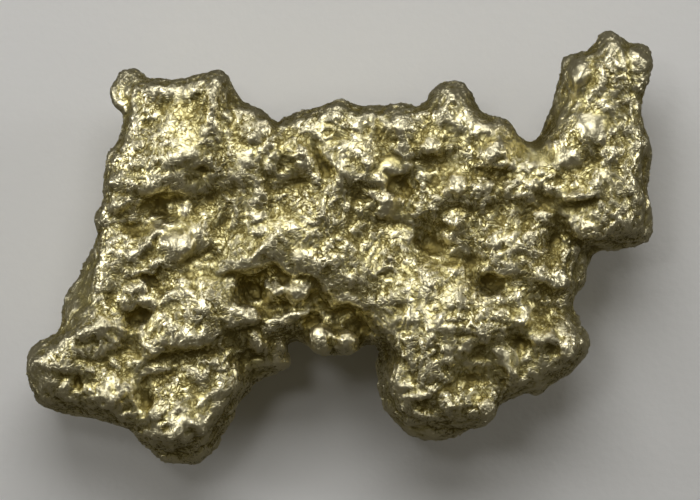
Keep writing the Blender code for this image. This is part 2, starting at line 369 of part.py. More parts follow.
def linked(name, data):
    obj = bpy.data.objects.new(name, data)
    bpy.context.scene.collection.objects.link(obj)
    return obj


def fused(mesh, grain):
    """The mesh as one skin of even faces."""
    obj = linked("fusing", mesh)
    remesh = obj.modifiers.new("Remesh", "REMESH")
    remesh.mode = "VOXEL"
    remesh.voxel_size = grain
    remesh.use_smooth_shade = True
    return mesh_of(obj)


def coordinates(mesh):
    co = np.empty(len(mesh.vertices) * 3, np.float32)
    mesh.vertices.foreach_get("co", co)
    return co.reshape(-1, 3).astype(float)


def normals(mesh):
    n = np.empty(len(mesh.vertices) * 3, np.float32)
    mesh.vertex_normals.foreach_get("vector", n)
    return n.reshape(-1, 3).astype(float)


def set_coordinates(mesh, co):
    mesh.vertices.foreach_set("co", co.astype(np.float32).ravel())
    mesh.update()


def slab_mesh(outline):
    """The outline as an even-meshed slab, for the relief to be pressed into."""
    curve = bpy.data.curves.new("plan", "CURVE")
    curve.dimensions = "2D"
    curve.fill_mode = "BOTH"
    curve.extrude = SLAB_HALF
    spline = curve.splines.new("POLY")
    spline.points.add(len(outline) - 1)
    for point, (x, y) in zip(spline.points, outline):
        point.co = (x, y, 0.0, 1.0)
    spline.use_cyclic_u = True
    flat = mesh_of(linked("plan", curve))
    obj = linked("slab", flat)
    weld = obj.modifiers.new("Weld", "WELD")
    weld.merge_threshold = 0.0001
    return fused(mesh_of(obj), SLAB_GRAIN)


def edge_rounding(x, y, outline, reach):
    """Share of full height at each point, which falls off round the edge like the side of an oval."""
    closed = [tuple(p) for p in outline] + [tuple(outline[0])]
    inset = path_distance(x, y, closed)[0] + EDGE_START
    return np.sqrt(1.0 - (1.0 - np.minimum(inset / reach, 1.0)) ** 2)


def front_skin(x, y, outline):
    """Height of the front over the rim."""
    height = np.maximum(front_relief(x, y), LEAST_HALF) * height_kept(x, y)
    return height * edge_rounding(x, y, outline, FRONT_ROUNDING)


def back_skin(x, y, outline):
    """Depth of the back under the rim."""
    return np.maximum(back_relief(x, y), LEAST_HALF) * edge_rounding(x, y, outline, BACK_ROUNDING)


def pressed_body(outline):
    """The slab with the front and back pressed into it."""
    mesh = slab_mesh(outline)
    co = coordinates(mesh)
    x, y = co[:, 0], co[:, 1]
    share = np.clip(co[:, 2] / SLAB_HALF, -1.0, 1.0)
    half = np.where(share > 0, front_skin(x, y, outline), back_skin(x, y, outline))
    co[:, 2] = RIM_HEIGHT + share * half
    set_coordinates(mesh, co)
    return mesh


def front_knobs(outline):
    """The front's knobs, each sunk into the skin until its top stands out as far as it should."""
    x, y = np.array([knob[:2] for knob in FRONT_KNOBS]).T
    skin = RIM_HEIGHT + front_skin(x, y, outline)
    return [knob_mesh(knob[0], knob[1], height + knob[6] - knob[4], *knob[2:6])
            for knob, height in zip(FRONT_KNOBS, skin)]


def knob_mesh(x, y, z, half_x, half_y, half_z, turn):
    bpy.ops.mesh.primitive_ico_sphere_add(subdivisions=4, radius=1.0)
    obj = bpy.context.active_object
    place = Matrix.Translation((x, y, z)) @ Matrix.Rotation(np.radians(turn), 4, "Z")
    obj.data.transform(place @ Matrix.Diagonal((half_x, half_y, half_z, 1.0)))
    return obj


def joined(body, knobs):
    """Body and knobs as one object of overlapping closed skins."""
    obj = linked("body", body)
    for other in bpy.context.selected_objects:
        other.select_set(False)
    for one in [obj, *knobs]:
        one.select_set(True)
    bpy.context.view_layer.objects.active = obj
    bpy.ops.object.join()
    return mesh_of(obj)


def softened(mesh, factor, repeat):
    obj = linked("soft", mesh)
    smooth = obj.modifiers.new("Smooth", "SMOOTH")
    smooth.factor = factor
    smooth.iterations = repeat
    return mesh_of(obj)


def lumps(points, size, depth):
    """Rounded lumps with creases between them: how far out each point lies."""
    nearest = [noise.voronoi(Vector(point) + CELL_SHIFT)[0][0] for point in points / size]
    return depth * (CRUMPLE_MEAN - np.minimum(nearest, 1.0) ** 2)


def crumple(mesh):
    """Moves the skin along its normals in lumps of several sizes."""
    co, n = coordinates(mesh), normals(mesh)
    moved = sum(lumps(co, size, depth) for size, depth in CRUMPLES)
    moved += lumps(co, *BACK_CRUMPLE) * np.clip((RIM_HEIGHT - co[:, 2]) / BACK_CRUMPLE_FADE, 0.0, 1.0)
    set_coordinates(mesh, co + n * moved[:, None])


def thinned(mesh, faces):
    """The mesh as about this many triangles, most where it bends most."""
    obj = linked("thin", mesh)
    obj.modifiers.new("Triangulate", "TRIANGULATE")
    decimate = obj.modifiers.new("Decimate", "DECIMATE")
    decimate.ratio = min(1.0, faces / (2.0 * len(mesh.polygons)))
    return mesh_of(obj)


def collection(name):
    made = bpy.data.collections.new(name)
    bpy.context.scene.collection.children.link(made)
    return made


def centred(mesh):
    """Centres the plan over the origin and turns millimetres into metres."""
    co = coordinates(mesh)
    co[:, :2] -= (co[:, :2].max(0) + co[:, :2].min(0)) / 2.0
    set_coordinates(mesh, co * MM)


def rest_cutter():
    """A block that reaches up to the plane on which the nugget rests."""
    bpy.ops.mesh.primitive_cube_add(size=1.0)
    cutter = bpy.context.active_object
    cutter.name = "rest_cutter"
    below = Matrix.Translation((0.0, 0.0, -0.5 * CUTTER_SIZE[2] * MM))
    cutter.data.transform(below @ Matrix.Diagonal((*(side * MM for side in CUTTER_SIZE), 1.0)))
    cutter.hide_render = True
    cutter.display_type = "WIRE"
    for home in list(cutter.users_collection):
        home.objects.unlink(cutter)
    collection("cutters").objects.link(cutter)
    return cutter


def gold():
    material = bpy.data.materials.new("native_gold")
    material.use_nodes = True
    shader = material.node_tree.nodes["Principled BSDF"]
    shader.inputs["Base Color"].default_value = (0.80, 0.70, 0.38, 1.0)
    shader.inputs["Metallic"].default_value = 1.0
    shader.inputs["Roughness"].default_value = 0.34
    return material


def main():
    clear_scene()
    outline = smooth_outline()
    knobs = front_knobs(outline) + [knob_mesh(*knob) for knob in EDGE_KNOBS]
    mesh = fused(joined(pressed_body(outline), knobs), GRAIN)
    mesh = softened(mesh, 0.5, 2)
    crumple(mesh)
    mesh = fused(mesh, GRAIN)
    mesh = thinned(mesh, FACES)
    centred(mesh)
    mesh.name = NAME
    mesh.materials.clear()
    mesh.materials.append(gold())
    nugget = bpy.data.objects.new(NAME, mesh)
    collection("gold_nugget").objects.link(nugget)
    wear = nugget.modifiers.new("Worn flat where it rests", "BOOLEAN")
    wear.operation = "DIFFERENCE"
    wear.solver = "EXACT"
    wear.object = rest_cutter()


main()
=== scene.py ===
"""A natural gold nugget on a pale studio floor, seen from straight above.

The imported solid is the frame. One piece stands for it: the same lump with its fine skin, made by
working the solid's own mesh over with knobs, pits, flakes and crinkles. Sizes are in millimetres
until a mesh is finished, X to the right and Y up the view, Z towards the camera.
"""

import bpy
import numpy as np
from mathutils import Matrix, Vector, noise


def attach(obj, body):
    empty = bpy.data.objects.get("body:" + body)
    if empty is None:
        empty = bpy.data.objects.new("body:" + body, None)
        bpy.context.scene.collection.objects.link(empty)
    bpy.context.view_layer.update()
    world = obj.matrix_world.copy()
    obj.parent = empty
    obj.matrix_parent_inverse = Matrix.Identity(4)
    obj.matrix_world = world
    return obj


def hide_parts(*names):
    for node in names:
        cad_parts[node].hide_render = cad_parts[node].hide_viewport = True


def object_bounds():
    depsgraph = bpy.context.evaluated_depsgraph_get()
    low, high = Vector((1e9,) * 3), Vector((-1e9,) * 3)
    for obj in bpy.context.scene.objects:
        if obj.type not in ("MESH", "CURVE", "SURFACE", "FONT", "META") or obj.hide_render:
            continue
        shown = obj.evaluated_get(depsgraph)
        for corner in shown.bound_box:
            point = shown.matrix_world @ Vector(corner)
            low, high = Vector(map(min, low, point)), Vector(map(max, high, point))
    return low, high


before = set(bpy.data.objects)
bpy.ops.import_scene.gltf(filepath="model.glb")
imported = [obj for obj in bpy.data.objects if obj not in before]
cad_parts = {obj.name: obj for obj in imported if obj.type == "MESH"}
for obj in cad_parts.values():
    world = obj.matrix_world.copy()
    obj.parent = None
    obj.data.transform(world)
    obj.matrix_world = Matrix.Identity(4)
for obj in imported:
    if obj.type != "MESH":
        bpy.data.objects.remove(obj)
solid_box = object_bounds()
MM = 0.001

# Camera. It hangs straight above the nugget on a long lens, far enough away that the knobs nearest
# to it hardly swell.
VIEW_CENTRE = (2.0, -0.4)
VIEW_WIDTH = 140.0
VIEW_LEVEL = 17.0  # the height at which the frame is VIEW_WIDTH wide
VIEW_DISTANCE = 1100.0
lens = bpy.data.cameras.new("camera")
lens.sensor_width = 36.0
lens.lens = lens.sensor_width * VIEW_DISTANCE / VIEW_WIDTH
camera = bpy.data.objects.new("camera", lens)
camera.location = (VIEW_CENTRE[0] * MM, VIEW_CENTRE[1] * MM, (VIEW_LEVEL + VIEW_DISTANCE) * MM)
bpy.context.scene.collection.objects.link(camera)
bpy.context.scene.camera = camera


# Studio. A pale matt floor in a dim warm room, with one large soft light beyond the top of the view,
# a small one nearer the camera for the glints, and three weak ones for the sides and the far rim.
class Wire:
    """An output socket of the shader being made. Arithmetic on it adds Math nodes."""

    tree = None

    def __init__(self, socket):
        self.socket = socket

    @classmethod
    def node(cls, kind, settings=None, sockets=None, output=0):
        """Adds a node: first its settings, then the values or links of its sockets."""
        made = cls.tree.nodes.new(kind)
        for name, value in (settings or {}).items():
            setattr(made, name, value)
        for name, value in (sockets or {}).items():
            if isinstance(value, Wire):
                cls.tree.links.new(value.socket, made.inputs[name])
            else:
                made.inputs[name].default_value = value
        return cls(made.outputs[output])

    def also(self, output):
        """Another output of the same node."""
        return Wire(self.socket.node.outputs[output])

    def maths(self, operation, first, second):
        return Wire.node("ShaderNodeMath", {"operation": operation}, {0: first, 1: second})

    def __add__(self, other):
        return self.maths("ADD", self, other)

    def __sub__(self, other):
        return self.maths("SUBTRACT", self, other)

    def __rsub__(self, other):
        return self.maths("SUBTRACT", other, self)

    def __mul__(self, other):
        return self.maths("MULTIPLY", self, other)

    def __abs__(self):
        return self.maths("ABSOLUTE", self, 0.0)

    def clamped(self, low=0.0, high=1.0):
        return self.maths("MINIMUM", self.maths("MAXIMUM", self, low), high)

    def sine(self):
        return Wire.node("ShaderNodeMath", {"operation": "SINE"}, {0: self})

    __radd__ = __add__
    __rmul__ = __mul__


def new_finish(name):
    """An empty material for Wire to work in, and its Principled shader."""
    finish = bpy.data.materials.new(name)
    finish.use_nodes = True
    Wire.tree = finish.node_tree
    return finish, finish.node_tree.nodes["Principled BSDF"]


def plug(shader, **wires):
    """Links wires or sets values on a shader, with underscores for spaces in the socket names."""
    for name, value in wires.items():
        socket = shader.inputs[name.replace("_", " ")]
        if isinstance(value, Wire):
            Wire.tree.links.new(value.socket, socket)
        else:
            socket.default_value = value


FLOOR_SIZE = 1.6
FLOOR_GRAIN = 0.0004  # how deep the paper's grain is
bpy.ops.mesh.primitive_grid_add(x_subdivisions=2, y_subdivisions=2, size=FLOOR_SIZE)
floor = bpy.context.active_object
floor.name = "floor"
floor_finish, floor_shader = new_finish("pale_paper")
floor_grain = Wire.node("ShaderNodeTexNoise", sockets={"Scale": 900.0, "Detail": 3.0})
floor_bump = Wire.node("ShaderNodeBump", sockets={
    "Strength": 0.15, "Distance": FLOOR_GRAIN, "Height": floor_grain})
plug(floor_shader, Base_Color=(0.86, 0.855, 0.84, 1.0), Roughness=0.85, Normal=floor_bump)
floor.data.materials.append(floor_finish)
floor.visible_glossy = False  # the steep sides show the dim room instead


def softbox(name, place, size, watts):
    """An area light at a place in metres, aimed at the nugget."""
    light = bpy.data.lights.new(name, "AREA")
    light.shape = "RECTANGLE"
    light.size, light.size_y = size
    light.energy = watts
    lamp = bpy.data.objects.new(name, light)
    lamp.location = place
    lamp.rotation_euler = Vector(place).to_track_quat("Z", "Y").to_euler()
    bpy.context.scene.collection.objects.link(lamp)


softbox("key_softbox", (-0.03, 0.52, 0.68), (0.62, 0.46), 3.02)
softbox("glint_softbox", (-0.22, 0.20, 0.95), (0.14, 0.14), 0.5)
softbox("side_softbox", (0.85, 0.25, 0.22), (0.20, 0.50), 1.5)
softbox("left_softbox", (-0.85, 0.20, 0.25), (0.20, 0.50), 2.2)
softbox("back_softbox", (0.0, 0.95, 0.16), (0.90, 0.20), 1.5)
room = bpy.data.worlds.new("room")
room.use_nodes = True
Wire.tree = room.node_tree
plug(room.node_tree.nodes["Background"], Color=(1.0, 0.92, 0.72, 1.0), Strength=0.07)
bpy.context.scene.world = room
bpy.context.scene.view_settings.view_transform = "Standard"

# The nugget: native gold that grew as one lump and was rolled and worn by water. Its skin is worked
# out of the solid's own mesh, first the single forms by region, then the crinkling that covers it.
RIM = 16.7  # height of the widest line
FORM_GRAIN = 0.48  # voxel size while the single forms are worked in
SKIN_GRAIN = 0.38  # voxel size while it is crinkled
FORM_SHARE = 0.9  # share of its listed height that each form gets
MOST_LIFT = 2.2  # forms that lie on one another level off below this
SKIN_FACES = 195000  # triangles of the finished skin
SKIN_DRAW = 3  # which draw of the noise: with none set, the skin would differ from run to run
noise.seed_set(SKIN_DRAW)


def mesh_of(obj):
    """The object's mesh with its modifiers applied. The object is removed."""
    bpy.context.view_layer.update()
    made = bpy.data.meshes.new_from_object(obj.evaluated_get(bpy.context.evaluated_depsgraph_get()))
    bpy.data.objects.remove(obj)
    return made


def modified(mesh, kind, **settings):
    """The mesh after one modifier."""
    obj = bpy.data.objects.new("work", mesh)
    bpy.context.scene.collection.objects.link(obj)
    modifier = obj.modifiers.new(kind, kind)
    for name, value in settings.items():
        setattr(modifier, name, value)
    return mesh_of(obj)


def points_of(mesh):
    co = np.empty(len(mesh.vertices) * 3, np.float32)
    mesh.vertices.foreach_get("co", co)
    return co.reshape(-1, 3).astype(float)


def normals_of(mesh):
    n = np.empty(len(mesh.vertices) * 3, np.float32)
    mesh.vertex_normals.foreach_get("vector", n)
    return n.reshape(-1, 3).astype(float)


def move_points(mesh, co):
    mesh.vertices.foreach_set("co", co.astype(np.float32).ravel())
    mesh.update()


def smoothstep(low, high, x):
    t = np.clip((x - low) / (high - low), 0.0, 1.0)
    return t * t * (3.0 - 2.0 * t)


def oval(x, y, cx, cy, rx, ry, turn):
    """(distance from the centre, along the first axis, along the second), in radii of an oval."""
    c, s = np.cos(np.radians(turn)), np.sin(np.radians(turn))
    u = ((x - cx) * c + (y - cy) * s) / rx
    v = ((y - cy) * c - (x - cx) * s) / ry
    return np.hypot(u, v), u, v


def knob(x, y, cx, cy, rx, ry, turn, height):
    """A round lump with a crease at its foot."""
    r = oval(x, y, cx, cy, rx, ry, turn)[0]
    moat = 0.22 * np.exp(-(((r - 1.12) / 0.16) ** 2))
    return height * (np.sqrt(np.clip(1.0 - r * r, 0.0, 1.0)) - moat)


def pit(x, y, cx, cy, rx, ry, turn, depth):
    """A hollow with a raised lip."""
    r = oval(x, y, cx, cy, rx, ry, turn)[0]
    lip = 0.25 * np.exp(-(((r - 1.14) / 0.2) ** 2))
    return depth * (lip - 0.5 * np.clip(1.0 - r * r, 0.0, 1.0) ** 0.8)


def swell(x, y, cx, cy, rx, ry, turn, height):
    """A broad low rise."""
    return height * smoothstep(1.3, 0.2, oval(x, y, cx, cy, rx, ry, turn)[0])


def hollow(x, y, cx, cy, rx, ry, turn, depth):
    """A shallow dip with no lip."""
    return swell(x, y, cx, cy, rx, ry, turn, -0.65 * depth)


def flake(x, y, cx, cy, rx, ry, turn, height):
    """A leaf that rises down the view, where its turn is 0, and breaks off there in a sharp lip."""
    r, _, v = oval(x, y, cx, cy, rx, ry, turn)
    undercut = np.exp(-(((r - 1.15) / 0.18) ** 2)) * np.clip(-v, 0.0, 1.0)
    return height * (smoothstep(1.05, 0.88, r) * (0.5 - 0.5 * v) - 0.4 * undercut)


def pleats(x, y, cx, cy, rx, ry, turn, height, count):
    """Parallel folds that run along the second axis."""
    r, u, _ = oval(x, y, cx, cy, rx, ry, turn)
    return height * smoothstep(1.1, 0.7, r) * (np.abs(np.sin(u * count * np.pi / 2.0)) - 0.5)


def rings(x, y, cx, cy, rx, ry, turn, height, count):
    """Growth steps one inside the other, with a groove between each two, on the upper side."""
    r, _, v = oval(x, y, cx, cy, rx, ry, turn)
    step = np.abs((r * count) % 1.0 - 0.5) * 2.0
    return -height * smoothstep(1.05, 0.85, r) * smoothstep(-0.2, 0.3, v) * smoothstep(0.5, 1.0, step)


def along_path(x, y, path):
    """(distance, side, share of the way along) of each point from a path. Side is +1 on its left."""
    nearest, side, along = np.full(x.shape, 1e9), np.ones(x.shape), np.zeros(x.shape)
    lengths = [np.hypot(b[0] - a[0], b[1] - a[1]) for a, b in zip(path, path[1:])]
    walked = 0.0
    for (ax, ay), (bx, by), length in zip(path, path[1:], lengths):
        dx, dy = (bx - ax) / length, (by - ay) / length
        t = np.clip((x - ax) * dx + (y - ay) * dy, 0.0, length)
        px, py = x - ax - t * dx, y - ay - t * dy
        closer = np.hypot(px, py) < nearest
        nearest = np.where(closer, np.hypot(px, py), nearest)
        side = np.where(closer, np.where(dx * py - dy * px >= 0, 1.0, -1.0), side)
        along = np.where(closer, (walked + t) / sum(lengths), along)
        walked += length
    return nearest, side, along


def taper(along):
    """Fades a path out at its two ends."""
    return np.clip(np.minimum(along, 1.0 - along) * 6.0, 0.0, 1.0)


def ridge(x, y, width, height, *path):
    """A rounded ridge along a path, or a groove with a height below 0."""
    d, _, along = along_path(x, y, path)
    return taper(along) * height * np.exp(-((d / width) ** 2))


def ledge(x, y, lift, back, drop, below, *path):
    """A lip that stands up on the left of its path, with the face on its right cut away."""
    d, side, along = along_path(x, y, path)
    up = np.clip(side * d / 0.35, -1.0, 1.0) * 0.5 + 0.5
    return taper(along) * (up * lift * np.exp(-d / back) - (1.0 - up) * drop * np.exp(-d / below))


def lean(x, y, cx, cy, rx, ry, turn, rise):
    """A patch tilted towards the top of the view, where its turn is 0, or away from it with a rise
    below 0."""
    r, _, v = oval(x, y, cx, cy, rx, ry, turn)
    return rise * (0.15 - 0.9 * v) * smoothstep(1.35, 0.5, r)


# Forms by region: what is made, then its centre, radii, turn and height, or its sizes and path. The
# slopes go in first. They turn broad patches of the skin, and the other forms stand on them.
SLOPES = [
    # Filled out: the middle and the long step on the right.
    (swell, -32.5, 16.2, 6.0, 2.8, 6, 0.9), (swell, 50.5, 20.4, 3.6, 2.6, -10, 0.8),
    (swell, 36.0, 10.6, 6.0, 2.4, -12, 0.8), (swell, 27.0, 9.6, 6.5, 2.6, -5, 0.8),
    (swell, 5.0, 12.0, 5.0, 2.4, 0, 1.0),
    # Tilted towards the light.
    (lean, -34.0, 12.8, 7.0, 4.4, 5, 1.0), (lean, -16.0, 20.2, 5.4, 4.8, 0, 1.2),
    (lean, -7.0, 16.2, 3.6, 3.0, 20, 0.7), (lean, -12.5, 15.0, 4.4, 3.2, 0, 0.8),
    (lean, 9.0, 14.6, 5.0, 3.6, -20, 1.2), (lean, -1.0, -5.0, 4.6, 2.8, -20, 0.8),
    (lean, -32.0, -15.8, 7.0, 4.6, 15, 1.7), (lean, -24.5, -16.4, 4.0, 3.4, 10, 0.9),
    (lean, -36.0, -3.2, 5.0, 3.0, 20, 1.2), (lean, 31.5, -3.4, 5.4, 3.4, 5, 1.5),
    (lean, 26.0, 10.6, 5.4, 3.6, -10, 1.1), (lean, 37.5, 11.6, 4.2, 3.4, -15, 0.8),
    (lean, 46.0, 12.2, 5.2, 3.8, 15, 1.2), (lean, 50.0, 22.6, 4.6, 4.6, -10, 1.0),
    (lean, 47.4, 35.0, 2.8, 3.2, 0, 1.0), (lean, -57.0, -26.0, 4.4, 4.0, 0, 0.7),
    (lean, -51.5, -12.0, 2.6, 6.5, 0, 0.5), (lean, 33.5, -13.8, 5.4, 3.6, -15, 0.9),
    (lean, 25.5, -14.4, 4.0, 3.0, 10, 0.7), (lean, 40.5, -23.6, 6.0, 2.8, 30, 0.7),
    (lean, 27.0, -29.0, 4.0, 3.0, 10, 0.6), (lean, 18.0, -31.0, 6.0, 4.0, 0, 0.8),
    (lean, -42.0, 31.0, 2.6, 3.0, 0, 1.0), (lean, -44.0, -20.0, 3.6, 3.0, 20, 0.6),
    (lean, -3.0, 5.6, 3.6, 2.6, 30, 0.9), (lean, 17.0, -22.4, 4.0, 3.0, -10, 0.9),
    (lean, 9.2, -23.0, 3.0, 4.8, 0, 1.1),
    # Tilted away from it.
    (lean, -31.5, -26.5, 7.0, 6.0, 8, -2.1), (lean, -33.0, -35.2, 8.0, 7.6, 0, -2.4),
    (lean, -48.0, -27.6, 7.5, 3.6, -22, -1.5), (lean, -31.8, 6.2, 3.8, 2.4, 0, -1.1),
    (lean, 18.6, -0.4, 5.4, 3.6, -25, -1.5), (hollow, 18.5, 0.4, 5.5, 2.4, -28, 1.6),
    (hollow, 24.0, -2.8, 4.2, 1.8, -20, 1.2), (lean, 33.5, 5.2, 4.2, 3.0, 0, -1.2),
    (lean, 28.0, 23.4, 3.6, 3.2, 0, -1.4), (lean, -27.5, -4.8, 3.6, 3.4, 0, -1.0),
    (lean, 30.5, -9.8, 3.2, 2.2, 0, -0.4), (lean, -2.0, 0.6, 3.4, 2.2, 0, -0.4),
    (lean, 38.5, -19.6, 4.4, 3.0, 0, -0.8), (lean, 2.0, 24.6, 4.6, 3.0, 0, -1.0),
    (lean, -11.0, 9.2, 4.6, 4.4, 0, -1.1), (lean, 41.5, -14.0, 3.4, 3.4, 0, -0.7),
    (lean, 19.5, 14.0, 3.2, 2.8, 0, -0.8), (lean, 57.0, 4.6, 4.6, 4.2, 30, -0.9),
    (lean, -36.5, 30.6, 4.0, 3.0, 0, -0.9), (lean, 50.0, 6.4, 4.0, 2.4, -10, -0.5),
    (lean, -1.6, -18.2, 4.8, 3.4, 0, -1.4), (lean, 12.0, -13.6, 4.2, 3.2, -20, -0.8),
]
# The upper left, from the corner knob to the fold beside it.
BROW = [
    (knob, -42.0, 32.8, 2.9, 3.2, 0, 1.0), (flake, -41.6, 32.6, 1.5, 2.1, 0, 0.9),
    (knob, -44.0, 29.5, 1.3, 3.3, 27, 0.9), (hollow, -39.6, 29.0, 1.2, 2.8, 0, 1.2),
    (rings, -30.5, 22.5, 7.0, 9.0, 0, 0.45, 6), (flake, -32.5, 20.2, 5.0, 3.8, 8, 0.5),
    (pit, -26.8, 15.3, 2.3, 1.3, -10, 1.4),
    (ridge, 0.9, 1.1, (-23.8, 35.0), (-25.0, 30.0), (-25.2, 25.0), (-24.6, 20.0)),
    (hollow, -21.6, 31.0, 1.6, 4.2, 15, 1.3), (knob, -24.3, 34.0, 1.8, 1.5, 0, 0.7),
    (flake, -26.2, 31.3, 1.3, 0.9, 20, 0.7), (flake, -23.1, 26.8, 0.6, 1.9, 15, 0.8),
    (pleats, -23.2, 20.0, 3.0, 5.5, 24, 0.45, 6), (flake, -18.8, 18.2, 1.7, 2.6, 8, 0.6),
    (flake, -19.6, 15.0, 0.9, 1.9, -10, 0.7), (knob, -17.4, 22.6, 2.4, 2.2, 0, 0.6),
    (pit, -17.6, 22.9, 0.8, 0.7, 0, 0.4), (flake, -15.3, 24.0, 1.1, 1.2, -20, 0.9),
    (ridge, 0.6, 0.8, (-18.5, 27.2), (-16.0, 26.8), (-13.5, 24.8)), (knob, -43.3, 21.9, 1.0, 0.9, 0, 0.5),
    (knob, -41.7, 12.6, 1.5, 1.1, 10, 0.7), (flake, -37.0, 13.0, 1.3, 1.8, -35, 0.8),
    (flake, -34.2, 14.3, 0.8, 1.6, -25, 0.7), (flake, -32.0, 11.4, 1.6, 0.6, 0, 0.5),
    (knob, -44.6, 17.9, 1.0, 1.2, 0, 0.6), (knob, -40.8, 20.3, 1.3, 0.9, 30, 0.4),
    (flake, -36.5, 27.0, 0.9, 2.2, -40, 0.6), (hollow, -38.5, 24.5, 1.6, 1.2, 0, 0.6),
]
# The deep pits under the brow, and the round boss below them.
CAVES = [
    (ridge, 0.5, 0.7, (-46.0, 8.0), (-43.5, 8.3), (-41.5, 9.4), (-40.0, 9.6)),
    (hollow, -43.8, 6.3, 2.0, 1.2, 0, 1.0), (pit, -35.5, 8.2, 4.8, 2.0, 4, 1.6),
    (knob, -31.6, 7.8, 2.8, 1.7, -8, 1.5),
    (ledge, 0.7, 1.3, 0.8, 0.8, (-39.8, 10.2), (-34.0, 10.8), (-28.8, 10.2)),
    (pit, -40.3, 3.6, 3.6, 1.7, 0, 1.2), (knob, -48.3, 5.2, 0.8, 0.9, 0, 0.6),
    (ridge, 0.35, 0.6, (-39.8, -2.5), (-38.6, 0.7), (-36.5, 2.8), (-33.5, 4.0), (-30.5, 3.7), (-28.0, 2.4)),
    (ridge, 0.5, -0.8, (-38.6, -2.5), (-37.4, 0.2), (-35.6, 2.0), (-33.0, 2.9), (-30.5, 2.7)),
    (knob, -32.2, 0.4, 3.9, 2.9, 0, 1.2), (flake, -31.0, 0.9, 2.4, 2.2, 15, 1.0),
    (ridge, 0.7, -1.4, (-31.5, -3.4), (-28.5, -2.2), (-26.0, -0.6), (-24.5, 0.0)),
    (knob, -35.4, -2.6, 2.4, 1.1, 10, 0.9), (flake, -41.3, -1.0, 1.8, 1.3, 20, 0.7),
    (ledge, 1.0, 1.5, 2.0, 1.0, (-42.0, -6.0), (-39.5, -5.3), (-37.0, -5.5), (-35.0, -6.4)),
    (ridge, 0.5, 0.8, (-41.3, -5.3), (-39.3, -4.7), (-36.8, -4.9)), (knob, -40.2, -7.8, 1.9, 1.7, -20, 1.0),
    (pit, -37.2, -6.8, 1.8, 1.1, 0, 1.2), (flake, -38.9, -10.5, 1.2, 0.9, -10, 1.0),
    (pit, -42.1, -11.0, 1.1, 1.1, 0, 0.7), (hollow, -39.8, -14.0, 3.6, 2.0, 25, 2.4),
    (flake, -40.6, -12.6, 1.4, 0.9, 20, 0.7), (pit, -45.3, -9.6, 1.3, 1.3, 0, 1.0),
    (flake, -46.0, -14.6, 1.8, 1.5, -30, 1.1), (knob, -32.5, -6.3, 3.0, 1.9, 10, 0.8),
    (ridge, 0.5, 0.8, (-35.6, -12.0), (-34.9, -9.6), (-32.5, -8.9), (-29.5, -8.6), (-27.6, -7.4)),
    (ridge, 0.6, -0.7, (-29.5, -3.7), (-26.0, -2.6), (-22.5, -0.8)),
    (ridge, 0.4, 0.6, (-21.4, 3.5), (-21.0, 5.5), (-20.6, 7.5)), (hollow, -22.6, 6.0, 1.0, 3.2, 0, 0.9),
]
# The lobe that reaches out at the lower left.
SNOUT = [
    (ledge, 1.4, 2.6, 2.2, 1.4,
     (-38.6, -22.8), (-36.4, -21.6), (-33.0, -20.3), (-28.5, -19.9), (-24.8, -19.3)),
    (knob, -38.4, -22.0, 0.9, 0.8, 0, 0.8), (knob, -37.1, -20.6, 0.9, 0.8, 0, 0.7),
    (knob, -36.2, -21.8, 0.7, 0.6, 0, 0.6), (knob, -38.2, -19.3, 0.9, 0.8, 0, 0.7),
    (hollow, -41.0, -18.0, 1.6, 4.0, 0, 1.3), (flake, -41.2, -21.4, 0.8, 1.4, 0, 0.8),
    (ridge, 0.7, 0.9, (-46.5, -14.8), (-49.0, -16.3), (-52.3, -17.6)),
    (flake, -51.8, -16.9, 0.9, 1.0, 0, 0.7), (pit, -48.7, -19.6, 1.3, 0.9, -20, 0.9),
    (flake, -47.9, -21.2, 1.0, 0.7, 10, 0.7), (knob, -50.3, -20.2, 0.45, 0.6, 0, 0.5),
    (knob, -45.0, -19.0, 1.4, 1.8, 0, 0.7), (knob, -44.2, -22.6, 1.2, 1.4, 20, 0.7),
    (knob, -46.4, -17.0, 1.0, 1.0, 0, 0.6), (flake, -60.3, -22.2, 2.2, 1.0, -8, 0.9),
    (ridge, 0.5, 0.7, (-61.5, -22.6), (-58.5, -23.0), (-56.0, -23.4), (-52.5, -24.6)),
    (pleats, -55.5, -22.5, 2.6, 1.6, 20, 0.4, 6), (flake, -57.4, -26.0, 1.3, 1.2, 15, 0.6),
    (hollow, -58.5, -24.6, 2.0, 1.0, 0, 0.6), (pit, -56.4, -28.2, 0.95, 2.3, -38, 1.0),
    (knob, -54.3, -27.1, 1.0, 2.2, -38, 0.8), (pit, -51.6, -26.6, 1.2, 1.7, 0, 1.8),
    (knob, -58.2, -31.4, 1.6, 1.5, 0, 0.7), (flake, -49.5, -23.4, 0.8, 1.4, 0, 0.7),
    (knob, -47.6, -27.9, 0.7, 0.6, 0, 0.6), (knob, -46.2, -29.3, 0.7, 0.6, 0, 0.7),
    (knob, -45.0, -30.2, 0.6, 0.7, 0, 0.6), (knob, -46.8, -31.8, 0.6, 0.6, 0, 0.6),
    (knob, -45.5, -32.4, 0.7, 0.6, 0, 0.6), (knob, -48.3, -29.0, 0.6, 0.6, 0, 0.5),
    (ridge, 0.8, 0.9, (-44.0, -26.0), (-43.4, -29.0), (-44.6, -31.0)),
    (hollow, -52.0, -30.0, 2.4, 1.2, 0, 0.9),
]
